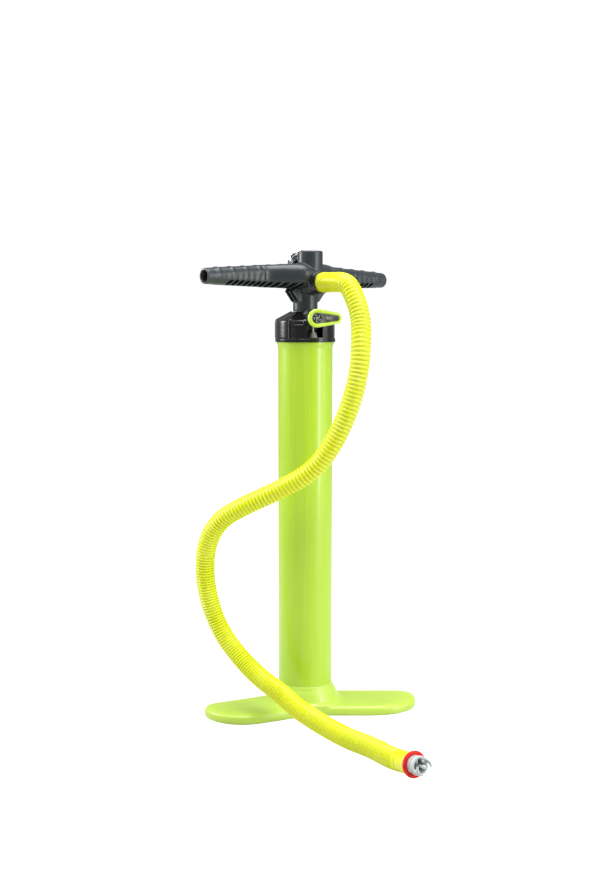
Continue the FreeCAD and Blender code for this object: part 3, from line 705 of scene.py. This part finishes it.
def wing_outline(side, inset):
    """A wing's outline with its rounded tip, drawn in from all edges by inset."""
    tip = smooth_line(WING_TIP)
    tip[:, 0] = 60 + (tip[:, 0] - 60) * (WING_REACH[side] - 60) / 90
    way = np.gradient(tip, axis=0)
    way /= np.linalg.norm(way, axis=1)[:, None]
    tip = tip + inset * np.column_stack([-way[:, 1], way[:, 0]])
    line = np.vstack([[(-6.0, inset - WING_HALF)], tip, [(-6.0, WING_HALF - inset)]])
    line[:, 1] += 1.8 * smooth_step(line[:, 1] / 30) * (side > 0)
    swing = math.radians(-side * WING_SWEEP)
    turn = np.array([[math.cos(swing), -math.sin(swing)], [math.sin(swing), math.cos(swing)]])
    return (line * (side, 1)) @ turn.T


class PUMP_OT_foot(bpy.types.Operator):
    """Make the winged foot with its flared collar"""
    bl_idname = "pump.foot"
    bl_label = "Foot"

    def execute(self, context):
        levels = [(1.2, 0.0), (0.3, 0.7), (0.0, 2.0), (0.1, 6.2), (0.5, 8.6), (1.6, 10.6),
                  (3.8, 12.1), (7.5, 13.0), (14.0, 13.5), (22.0, 13.8)]
        pieces = []
        for side in (-1, 1):
            rings = []
            for inset, height in levels:
                plan = wing_outline(side, inset)
                rings.append(np.column_stack([plan, np.full(len(plan), height)]))
            pieces.append(skinned("wing", rings))
        pieces.append(lathe("bell", softened([
            (0, 0), (45.0, 0), (48.6, 12.2, 1), (48.6, 15.2, 1.0), (45.0, 16.0, 1.2), (43.0, 21, 6),
            (40.2, 28.0, 8), (36.9, 33.4, 6), (36.1, SEAM - 0.3, 0.5), (35.4, SEAM + 0.5, 0.4),
            (0, SEAM + 0.5)]), 180, looped=False))
        foot = fused("foot_moulding", pieces, 1.25, 7)
        for vertex in foot.data.vertices:
            vertex.co.z = max(vertex.co.z, 0.0)
        breathers = [placed(rod("hole", 3.0, 0, 30), Matrix.Rotation(math.radians(-90), 4, "X"),
                            moved(x, 28, 23.4)) for x in (-10, 0, 10)]
        socket = rod("socket", 32.0, SEAM - 3, SEAM + 6, 128)
        carved(foot, breathers + [socket])
        finished(foot, "pump_base", "foot_plastic", ["foot"])
        return {"FINISHED"}


class PUMP_OT_barrel(bpy.types.Operator):
    """Make the barrel with its band and faint rings"""
    bl_idname = "pump.barrel"
    bl_label = "Barrel"

    def execute(self, context):
        r = BARREL_RADIUS
        profile = [(r - 3, SEAM), (r - 0.2, SEAM, 0.2), (r, SEAM + 0.8, 0.3), (r, 300),
                   (r, 481.6, 0.6), (r + 0.6, 483.4, 0.8), (r + 0.7, 485.0, 0.5),
                   (r + 1.6, 485.9, 0.5), (r + 1.8, BARREL_TOP - 0.2, 0.4),
                   (r - 3, BARREL_TOP - 0.2)]
        barrel = lathe("barrel_tube", softened(profile), 240)
        finished(barrel, "pump_base", "barrel_plastic", ["barrel"])
        return {"FINISHED"}


# ---------------------------------------------------------------- cap and mode lever
RIB_ANGLES = (-52, 52, -109, 109, 180)


def cap_shape(setting):
    """Adds the cap's ribs and its raised front frame to the turned shell."""
    height, width = setting.rib_height / MM, setting.rib_width / MM

    def shape(angles, radius, level):
        degrees = np.degrees((angles + math.pi) % (2 * math.pi) - math.pi)
        outside = (level > BARREL_TOP + 3.5) & (radius > 17.5)
        lift = np.zeros_like(radius)
        for rib in RIB_ANGLES:
            off = (degrees - rib + 180) % 360 - 180
            lift += height * bump_at(np.radians(off) * radius, width * 1.5) ** 0.6
        panel = smooth_step((24 - np.abs(degrees)) / 1.2) * (level < BARREL_TOP + 27.2)
        lift = np.where(np.abs(degrees) < 45, np.maximum(lift, 0.8 * panel), lift)
        step = (np.abs(degrees) > 24) & (np.abs(degrees) < 49) & (level < BARREL_TOP + 21.0)
        lift = np.where(step, lift + 0.45, lift)
        lift = np.where(outside, lift, 0.0)
        slope = np.where(level > BARREL_TOP + 26.0, 0.47, 1.0)
        return radius + lift * slope, level + lift * np.sqrt(1 - slope ** 2)
    return shape


class PUMP_OT_cap(bpy.types.Operator):
    """Make the ribbed cap with its window and lever boss"""
    bl_idname = "pump.cap"
    bl_label = "Cap"

    def execute(self, context):
        top = BARREL_TOP
        levels = [(38.3, top + 4.4 + 0.55 * k) for k in range(1, 38)]
        slope = [(38.3 - 21.0 * t, top + 26.5 + 11.3 * t) for t in np.linspace(0.06, 0.97, 24)]
        outer = softened([(37.6, top - 1.3), (39.2, top - 1.3, 0.4), (39.3, top + 2.6, 0.7),
                          (38.2, top + 3.8)])
        profile = [*outer, *levels, (38.2, top + 25.6), (37.9, top + 26.4), *slope,
                   (16.9, CAP_TOP - 0.3), (16.4, CAP_TOP), (11.9, CAP_TOP), (11.7, CAP_TOP - 2.4),
                   (16.0, CAP_TOP - 2.6), (35.7, top + 24.5), (35.7, top + 0.4),
                   (37.6, top + 0.4)]
        shell = lathe("cap_shell", profile, 720, shape=cap_shape(context.scene.pump_cap))
        boss = placed(lathe("boss", softened([(0, 20), (11.8, 20), (11.8, 38.5, 0.5), (10.9, 38.9),
                                              (10.9, 40.6, 0.5), (0, 40.6)]), 96, looped=False),
                      ahead(0, LEVER_HEIGHT))
        room = placed(rod("room", 9.4, 25, 33), ahead(0, LEVER_HEIGHT))
        well = box("well", (-9.4, -33, 500), (9.4, -25, LEVER_HEIGHT))
        window = bevelled(box("window", (-10.6, -46, top + 4.6), (10.6, -31, top + 19.0)), 1.2)
        carved(shell, [boss], "UNION")
        for tool in (room, well, window):
            carved(shell, [tool])
        cone = lathe("vent_cone", softened([
            (2.0, 493.1), (6.3, 493.1, 0.4), (6.0, 495.5, 1), (4.2, 499.6, 1), (4.0, 501.4, 0.4),
            (2.0, 501.4, 0.2)]), 64)
        placed(cone, moved(y=-NIPPLE_REACH))
        placed(shell, turned(CAP_ANGLE))
        placed(cone, turned(CAP_ANGLE))
        finished(cone, "pump_base", "light_plastic", ["vent_nipple"], "cone_plastic")
        finished(shell, "pump_base", "cap_plastic", ["cap"], angle=32.0)
        return {"FINISHED"}


def drop_outline(big, small, reach, count=40):
    """A drop's outline in the plane of X and Z: a large round end at 0 and a small one at reach."""
    lean = math.asin((big - small) / reach)
    line = [(big * math.cos(a), big * math.sin(a))
            for a in np.linspace(math.pi / 2 - lean, 3 * math.pi / 2 + lean, count)]
    line += [(reach + small * math.cos(a), small * math.sin(a))
             for a in np.linspace(-math.pi / 2 + lean, math.pi / 2 - lean, count)]
    return np.array(line)


def drop_plate(name, sections, looped=False):
    """A drop-shaped plate from (inset, forward) pairs; its band is wider round the large end."""
    rings = []
    for inset, forward in sections:
        plan = drop_outline(LEVER_BIG - inset * (1 + 0.10 * inset), LEVER_SMALL - inset,
                            LEVER_REACH)
        rings.append(np.column_stack([plan[:, 0], np.full(len(plan), -forward),
                                      plan[:, 1] + LEVER_HEIGHT]))
    return skinned(name, rings, looped)


def swirl_blade(index, count):
    """One curved blade of the vent, from its hub to its rim."""
    rings = []
    for t in np.linspace(0, 1, 9):
        radius, angle = 1.1 + 4.0 * t, index * 2 * math.pi / count + 1.0 * t
        centre = np.array([radius * math.cos(angle), radius * math.sin(angle)])
        heading = angle + math.atan2(radius * 1.0 / 4.5, 1)
        across = np.array([-math.sin(heading), math.cos(heading)]) * (0.5 + 0.3 * t)
        rings.append([(*(centre - across), 0.2), (*(centre - across * 0.6), 1.5),
                      (*(centre + across * 0.6), 1.5), (*(centre + across), 0.2)])
    return skinned("blade", rings)


class PUMP_OT_lever(bpy.types.Operator):
    """Make the mode lever, its lime rim, vent and detent screw"""
    bl_idname = "pump.lever"
    bl_label = "Mode lever"

    def execute(self, context):
        back, front = LEVER_BACK, LEVER_BACK + 5.0
        plate = drop_plate("lever_plate", [
            (3.9, back + 0.1), (3.65, back + 0.5), (3.65, front - 1.4), (4.0, front - 0.9),
            (4.6, front - 0.7), (5.4, front - 0.7)])
        recess = placed(lathe("recess", softened([(0, 0), (5.7, 0, 0.4), (5.7, 2), (6.1, 3.4),
                                                  (0, 3.4)]), 72, looped=False),
                        ahead(front - 2.2, LEVER_HEIGHT))
        dimple = placed(rod("dimple", 1.5, -6, 2), moved(x=DETENT_REACH),
                        ahead(front, LEVER_HEIGHT))
        carved(plate, [recess])
        carved(plate, [dimple])
        rim = drop_plate("lever_rim", [
            (0.0, back + 1.0), (0.0, front - 1.3), (0.3, front - 0.5), (1.0, front + 0.05),
            (1.9, front + 0.15), (2.8, front - 0.05), (3.4, front - 0.6), (3.6, front - 1.4),
            (3.6, back + 0.6), (3.2, back), (0.5, back), (0.1, back + 0.4)], looped=True)
        base = lathe("vent_cup", softened([(0, 0), (5.6, 0), (5.6, 0.9, 0.2), (5.4, 1.6, 0.2),
                                            (4.9, 1.6, 0.2), (4.8, 0.4, 0.2), (0, 0.4)]), 72,
                     looped=False)
        hub = rod("vane_hub", 1.35, 0.1, 1.75, 32, 0.3)
        vanes = gathered("vent_vanes", [hub] + [swirl_blade(k, 5) for k in range(5)])
        for piece in (base, vanes):
            placed(piece, ahead(front - 2.0, LEVER_HEIGHT))
        screw = lathe("detent_ring", softened([
            (0, -1.6), (1.0, -1.6), (1.1, -0.3, 0.2), (1.9, -0.3, 0.3), (2.2, -0.9, 0.2),
            (2.2, -2.4), (0, -2.4)]), 48, looped=False)
        placed(screw, moved(x=DETENT_REACH), ahead(front, LEVER_HEIGHT))
        for piece, slot, nodes, finish in (
                (plate, "grey_plastic", ["selector_lever"], "lever_plastic"),
                (rim, "lime_plastic", ["selector_ring"], None),
                (base, "grey_plastic", ["vent_disc"], "inner_plastic"),
                (vanes, "grey_plastic", [], "vane_plastic"),
                (screw, "screw_steel", ["detent_screw"], "dull_steel")):
            placed(piece, turned(CAP_ANGLE))
            finished(piece, "selector", slot, nodes, finish)
        return {"FINISHED"}


# ---------------------------------------------------------------- handle
def arm_section(depth, height, power, count=72):
    """A rounded section of an arm in the plane of Y and Z, about its own middle."""
    angles = np.linspace(0, 2 * math.pi, count, endpoint=False)
    c, s = np.cos(angles), np.sin(angles)
    return (np.sign(c) * np.abs(c) ** (2 / power) * depth / 2,
            np.sign(s) * np.abs(s) ** (2 / power) * height / 2)


def arm(setting, side):
    """One arm of the handle: tapered, bumped over the top and recessed along its faces."""
    rings = []
    bump, pitch = setting.bump_height / MM, setting.bump_pitch / MM
    for x in np.arange(0, BAR_REACH + 0.01, 1.0):
        t = x / BAR_REACH
        tip = smooth_step((x - BAR_REACH + 14.5) / 2.5)
        depth, height = 28.5 - 8.0 * t, 33.0 - 12.3 * t
        power = 2.9 - 0.9 * smooth_step((x - 50) / 90)
        y, z = arm_section(depth, height, power)
        over = np.clip(z / (height / 2) + 0.15, 0, 1) ** 0.7
        ridge = bump * bump_at((x - 31 + pitch / 2) % pitch - pitch / 2, 7.5) * (1 - tip) * (x > 22)
        z = z + ridge * over * (0.35 + 0.65 * np.clip(z / (height / 2), 0, 1))
        y = y * (1 + 0.055 * ridge / bump * over)
        band = np.exp(-((z + 1.0) / (height * 0.20)) ** 2) * (np.abs(y) > depth * 0.25)
        room = smooth_step((x - 52) / 14) * smooth_step((BAR_REACH - 18 - x) / 9)
        ripple = 0.5 + 0.5 * math.cos(2 * math.pi * (x - 28) / (setting.cell_pitch / MM))
        y = y - np.sign(y) * band * room * (setting.flute_depth / MM) * (0.3 + 0.7 * ripple)
        y, z = y * (1 - 0.03 * tip), z * (1 - 0.03 * tip)
        if x > BAR_REACH - 1.5:
            y, z = y * 0.965, z * 0.965
        rings.append(np.column_stack([np.full(len(y), side * x), y + BAR_BACK,
                                      z + BAR_HEIGHT - 2.6 * t]))
    return skinned("arm", rings)


def shoulder():
    """The thick body that carries the two arms forward to the front of the hub."""
    rings = []
    for x in np.arange(-66, 66.1, 1.5):
        out = smooth_step((abs(x) - 16) / 50)
        y, z = arm_section(36.0 - 9.5 * out, 32.6 - 4.0 * out, 2.3 + 0.4 * out)
        rings.append(np.column_stack([np.full(len(y), x), y - 8.6 + 22.4 * out,
                                      z + 573.4 - 0.4 * out]))
    return skinned("shoulder", rings)


def web(side, y, thick):
    """A triangular web from under an arm down to the neck."""
    rings = [[(side * 12, y + k, 562), (side * 33, y + k, 560.5), (side * 32, y + k, 558),
              (side * 17, y + k, 540.5), (side * 12, y + k, 540.5)] for k in (0, thick)]
    return skinned("web", rings)


def cell(setting, side, index, near):
    """The slanted cutter of one pocket under an arm, with chamfered corners."""
    x = 25.0 + setting.cell_pitch / MM * index
    t = x / BAR_REACH
    low, high = -20.0, -9.4 + 3.6 * t
    lean, half, cut = math.tan(math.radians(38)), 3.1, 1.5
    y0, y1 = (BAR_BACK - 46, BAR_BACK - 1.1) if near else (BAR_BACK + 1.1, BAR_BACK + 20)
    plan = [(-half, low), (half, low), (half, high - cut), (half - cut, high), (cut - half, high),
            (-half, high - cut)]
    rings = [[(side * x + px + lean * (pz - low) - 6.0, y, BAR_HEIGHT + pz) for px, pz in plan]
             for y in (y0, y1)]
    return skinned("cell", rings)


GAUGE_SEAT = (moved(0, 9, 590.5) @ Matrix.Rotation(math.radians(-50), 4, "X"))


class PUMP_OT_handle(bpy.types.Operator):
    """Make the handle: neck, hub, arms, ribs and gauge housing"""
    bl_idname = "pump.handle"
    bl_label = "Handle"

    def execute(self, context):
        setting = context.scene.pump_handle
        tower = lathe("tower", softened([(0, 552), (16.4, 552, 2), (16.4, HUB_TOP, 2.2),
                                         (0, HUB_TOP)]), looped=False)
        placed(tower, moved(y=-9.3))
        neck = lathe("neck", softened([(0, 528.3), (16.0, 528.3, 0.6), (16.0, 546, 3), (16.6, 556),
                                       (16.6, 580), (0, 580)]), looped=False)
        boss = placed(rod("boss", 15.0, 6, 25.8, 96, 0.5), ahead(0, PORT_HEIGHT))
        pipe = placed(rod("pipe", 12.7, 20, 29.0, 96), ahead(0, PORT_HEIGHT))
        house = placed(rod("house", 10.5, -17, 1.0, 96, 0.6), GAUGE_SEAT)
        cup = placed(rod("cup", 15.2, -2.2, 2.6, 96, 0.6), GAUGE_SEAT)
        pieces = [tower, neck, boss, pipe, house, cup, shoulder()]
        pieces += [arm(setting, side) for side in (-1, 1)]
        pieces += [web(side, y, 2.2) for side in (-1, 1) for y in (-8.5, -1.1, 6.3)]
        body = fused("handle_moulding", pieces, 0.8, 4)
        cells = [cell(setting, side, index, near) for side in (-1, 1)
                 for index in range(setting.cell_count) for near in (True, False)]
        bores = []
        for side in (-1, 1):
            bore = lathe("bore", softened([
                (0, 0), (7.4, 0, 1.0), (7.4, 18.6), (8.4, 20.2), (8.4, 26), (0, 26)]), 72,
                looped=False)
            placed(bore, Matrix.Rotation(math.radians(side * 90), 4, "Y"),
                   moved(side * (BAR_REACH - 19.4), BAR_BACK, BAR_HEIGHT - 2.6))
            bores.append(bore)
        seat = placed(rod("seat", 14.1, 0, 40, 96), GAUGE_SEAT)
        throat = placed(rod("throat", 11.05, 520, 556.2, 72))
        carved(body, cells)
        carved(body, bores + [seat, throat])
        placed(body, turned(HANDLE_ANGLE))
        finished(body, "handle_group", "grey_plastic", ["handle"], angle=38.0)
        return {"FINISHED"}


# ---------------------------------------------------------------- pressure gauge
def dial_marks():
    """Ticks and generic numbers round the gauge's dial, over three quarters of a turn."""
    ticks = []
    for index in range(31):
        angle = math.radians(NEEDLE_REST - 9 * index)
        long = index % 5 == 0
        inner, outer, half = (8.3 if long else 9.5), 11.2, (0.28 if long else 0.14)
        tick = box("tick", (-half, inner, 0.78), (half, outer, 0.95))
        ticks.append(placed(tick, Matrix.Rotation(angle, 4, "Z")))
    for number in range(0, 31, 5):
        angle = math.radians(90 + NEEDLE_REST - 9 * number)
        text = bpy.data.curves.new("number", "FONT")
        text.body = str(number)
        text.size = 2.5 * MM
        text.extrude = 0.08 * MM
        text.align_x, text.align_y = "CENTER", "CENTER"
        source = linked("number", text)
        bpy.context.view_layer.update()
        mesh = bpy.data.meshes.new_from_object(
            source.evaluated_get(bpy.context.evaluated_depsgraph_get()))
        bpy.data.objects.remove(source)
        mesh.transform(moved(6.5 * math.cos(angle), 6.5 * math.sin(angle), 0.86))
        ticks.append(linked("number", mesh))
    return gathered("dial_marks", ticks)


class PUMP_OT_gauge(bpy.types.Operator):
    """Make the pressure gauge behind the hub"""
    bl_idname = "pump.gauge"
    bl_label = "Gauge"

    def execute(self, context):
        case = lathe("gauge_cup", softened([
            (0, 0.1), (14.0, 0.1, 0.5), (14.0, 5.2, 0.4), (12.6, 5.2), (12.6, 4.6), (0, 4.6)]),
            looped=False)
        dial = lathe("gauge_card", softened([
            (1.1, 4.7), (12.4, 4.7), (12.4, 6.3, 0.2), (1.1, 6.3)]))
        bezel = lathe("gauge_rim", softened([
            (12.9, 8.6), (13.9, 8.6, 0.2), (14.2, 8.9, 0.3), (14.1, 10.0, 0.5), (13.4, 10.4, 0.4),
            (12.9, 10.0, 0.2)]))
        lens = lathe("gauge_glass", softened([
            (0, 7.9), (12.6, 7.9, 0.3), (12.6, 5.3), (13.9, 5.3, 0.2), (13.9, 8.5, 0.2),
            (12.8, 8.6, 0.1), (12.8, 10.0, 0.4), (9, 10.6, 3), (0, 10.8)]), looped=False)
        marks = placed(dial_marks(), moved(z=5.5))
        hub = rod("needle_hub", 1.6, 6.6, 7.6, 32, 0.3)
        blade = bevelled(solid("blade", [(-0.75, -3, 6.7), (0.75, -3, 6.7), (0.18, 9, 6.7),
                                         (-0.18, 9, 6.7), (-0.75, -3, 7.1), (0.75, -3, 7.1),
                                         (0.18, 9, 7.1), (-0.18, 9, 7.1)],
                               BOX_FACES), 0.12)
        shaft = rod("needle_shaft", 1.0, 5.6, 7.0, 24)
        pointer = gathered("gauge_pointer", [hub, blade, shaft])
        placed(pointer, Matrix.Rotation(math.radians(NEEDLE_REST), 4, "Z"))
        for piece, body, slot, nodes, finish in (
                (case, "handle_group", "cap_plastic", ["gauge_case"], None),
                (dial, "handle_group", "dial_face", ["gauge_dial"], None),
                (marks, "handle_group", "dial_face", [], "dial_ink"),
                (bezel, "handle_group", "bezel_metal", ["gauge_bezel"], None),
                (lens, "handle_group", "clear_lens", ["gauge_lens"], None),
                (pointer, "needle", "needle_paint", ["gauge_needle"], None)):
            placed(piece, GAUGE_SEAT, turned(HANDLE_ANGLE))
            finished(piece, body, slot, nodes, finish)
        return {"FINISHED"}


# ---------------------------------------------------------------- nozzle
def prong(angle, sweep, start, end, hook):
    """One curved bayonet prong of the nozzle, with a lug that hooks sideways at its tip."""
    rings = []
    for t in np.linspace(0, 1, 17):
        forward = start + (end - start) * t
        swing = hook * smooth_step((t - 0.55) / 0.45)
        out = 10.6 - 0.9 * smooth_step((t - 0.8) / 0.2)
        inn = 7.6 + 0.5 * smooth_step((t - 0.8) / 0.2)
        ring = []
        for a in np.linspace(-sweep / 2, sweep / 2, 9):
            turn = math.radians(angle + a + swing * (1 if a > -sweep / 4 else 0.35))
            ring.append((out * math.sin(turn), out * math.cos(turn), forward))
        for a in np.linspace(sweep / 2, -sweep / 2, 9):
            turn = math.radians(angle + a + swing * (1 if a > -sweep / 4 else 0.35))
            ring.append((inn * math.sin(turn), inn * math.cos(turn), forward))
        rings.append(ring)
    return bevelled(skinned("prong", rings), 0.45, 3, 40)


class PUMP_OT_nozzle(bpy.types.Operator):
    """Make the bayonet nozzle with its gasket and centre pin"""
    bl_idname = "pump.nozzle"
    bl_label = "Nozzle"

    def execute(self, context):
        tube = lathe("tube", softened([
            (7.8, 20.1), (13.3, 20.1, 0.5), (13.3, 23.4, 0.4), (10.8, 23.4), (10.8, 33.5),
            (11.2, 34.2, 0.3), (11.2, 35.4, 0.3), (10.8, 36.1), (10.8, 38.0, 0.9),
            (7.8, 38.0, 0.7)]), 120)
        slots = [placed(box("slot", (-2.0, 6, 30.5), (2.0, 14, 36.5)),
                        Matrix.Rotation(math.radians(angle), 4, "Z")) for angle in (118, -62)]
        slots = [bevelled(slot, 0.6) for slot in slots]
        carved(tube, slots)
        prongs = [prong(angle, 62, 36.8, 47.4, 34) for angle in (38, 218)]
        shell = gathered("nozzle_shell", [tube] + prongs)
        seal = lathe("nozzle_seal", softened([
            (10.85, 23.5, 0.4), (14.4, 23.5, 1.2), (15.4, 24.6, 1.0), (15.4, 26.0, 1.2),
            (14.0, 27.3, 1.4), (11.9, 27.0, 0.8), (10.85, 26.6, 0.3)]), 120)
        centre = gathered("nozzle_centre", [
            rod("pin", 1.5, 26.5, 47.0, 40, 0.6), rod("head", 2.3, 44.2, 46.6, 40, 0.7),
            bevelled(box("bridge", (-1.5, -7.6, 28.8), (1.5, 7.6, 31.4)), 0.4)])
        for piece, slot, node in ((shell, "light_plastic", "nozzle_body"),
                                  (seal, "red_rubber", "nozzle_gasket"),
                                  (centre, "light_plastic", "nozzle_pin")):
            placed(piece, *at_nozzle())
            finished(piece, "swivel", slot, [node])
        return {"FINISHED"}


# ---------------------------------------------------------------- carried-over nodes and the stage
class PUMP_OT_inner(bpy.types.Operator):
    """Give each node that stays its own finish"""
    bl_idname = "pump.inner"
    bl_label = "Inner pieces"

    def execute(self, context):
        slots = {part["node"]: part["material_slot"] for part in frame["record"]["subparts"]}
        for name, piece in frame["nodes"].items():
            if not piece.hide_render:
                piece.data.materials.clear()
                piece.data.materials.append(FINISHES[slots[name]])
        return {"FINISHED"}


def lamp(name, power, wide, tall, bearing, distance, height, aim=0.3):
    """A soft area light at a bearing from the camera's side, turned towards the pump."""
    light = bpy.data.lights.new(name, "AREA")
    light.shape, light.size, light.size_y, light.energy = "RECTANGLE", wide, tall, power
    holder = linked(name, light)
    turn = math.radians(bearing - VIEW_BEARING)
    place = Vector((distance * math.sin(turn), -distance * math.cos(turn), height))
    holder.location = place
    holder.rotation_euler = (Vector((0, 0, aim)) - place).to_track_quat("-Z", "Y").to_euler()


class PUMP_OT_stage(bpy.types.Operator):
    """Make the pale floor, the studio lights and the camera"""
    bl_idname = "pump.stage"
    bl_label = "Stage"

    def execute(self, context):
        studio = context.scene.pump_studio
        camera = bpy.data.cameras.new("view")
        camera.lens, camera.sensor_fit, camera.sensor_height = studio.lens, "VERTICAL", 36.0
        holder = linked("view", camera)
        holder.location = (-0.4088, -1.6502, 0.52107)
        holder.rotation_euler = (math.radians(90 - 5.523), 0, math.radians(-VIEW_BEARING))
        camera.shift_x = -0.001
        context.scene.camera = holder
        floor = solid("floor", [(-9000, -9000, -0.4), (9000, -9000, -0.4), (9000, 9000, -0.4),
                                (-9000, 9000, -0.4)], [(0, 1, 2, 3)])
        pale = Recipe("floor_pale", Roughness=0.8, Emission_Strength=studio.floor)
        tone = pale.within(pale.noise(3.0, 2.0), 0.3, 0.7)
        pale.surface("Base Color", pale.tint((0.50, 0.50, 0.50), (0.52, 0.52, 0.52), tone))
        seen = pale.node("ShaderNodeLightPath", output="Is Camera Ray")
        pale.surface("Emission Color", pale.tint((0.15, 0.15, 0.15), (1.0, 1.0, 1.0), seen))
        floor.data.materials.append(pale.material)
        world = bpy.data.worlds.new("sky")
        context.scene.world = world
        world.use_nodes = True
        tree = world.node_tree
        soft, bright = tree.nodes["Background"], tree.nodes.new("ShaderNodeBackground")
        soft.inputs["Strength"].default_value = studio.sky
        for sky in (soft, bright):
            sky.inputs["Color"].default_value = (1, 1, 1, 1)
        bright.inputs["Strength"].default_value = 1.05
        path, mix = tree.nodes.new("ShaderNodeLightPath"), tree.nodes.new("ShaderNodeMixShader")
        tree.links.new(path.outputs["Is Camera Ray"], mix.inputs["Fac"])
        tree.links.new(soft.outputs[0], mix.inputs[1])
        tree.links.new(bright.outputs[0], mix.inputs[2])
        tree.links.new(mix.outputs[0], tree.nodes["World Output"].inputs["Surface"])
        lamp("strip_right", studio.strip, 0.30, 1.5, 61, 1.9, 0.75)
        lamp("key_left", studio.key * 0.7, 1.2, 1.5, -55, 2.2, 1.3)
        lamp("fill_right", studio.key, 1.0, 1.6, 80, 2.1, 0.8)
        lamp("cap_left", studio.key * 1.5, 0.36, 0.62, -99, 1.3, 0.82, 0.7)
        lamp("top", studio.key * 8.5, 1.8, 1.8, 20, 0.3, 2.3)
        context.scene.view_settings.view_transform = "Standard"
        return {"FINISHED"}


class PUMP_PT_steps(bpy.types.Panel):
    """Lists the pump's pieces and their settings"""
    bl_idname = "PUMP_PT_steps"
    bl_label = "Hand pump"
    bl_space_type = "VIEW_3D"
    bl_region_type = "UI"
    bl_category = "Pump"

    def draw(self, context):
        for step in STEPS:
            self.layout.operator(step.bl_idname)
        for group in GROUPS:
            settings = getattr(context.scene, group)
            for name in settings.__annotations__:
                self.layout.prop(settings, name)


STEPS = (PUMP_OT_stage, PUMP_OT_cuffs, PUMP_OT_nozzle, PUMP_OT_hose, PUMP_OT_foot, PUMP_OT_barrel,
         PUMP_OT_cap, PUMP_OT_lever, PUMP_OT_handle, PUMP_OT_gauge, PUMP_OT_inner)


def register():
    for kind in (*GROUPS.values(), *STEPS, PUMP_PT_steps):
        bpy.utils.register_class(kind)
    for name, kind in GROUPS.items():
        setattr(bpy.types.Scene, name, bpy.props.PointerProperty(type=kind))


def unregister():
    for name in GROUPS:
        delattr(bpy.types.Scene, name)
    for kind in reversed((*GROUPS.values(), *STEPS, PUMP_PT_steps)):
        bpy.utils.unregister_class(kind)


def main():
    register()
    make_finishes()
    for step in STEPS:
        group, action = step.bl_idname.split(".")
        getattr(getattr(bpy.ops, group), action)()


if __name__ == "__main__":
    main()
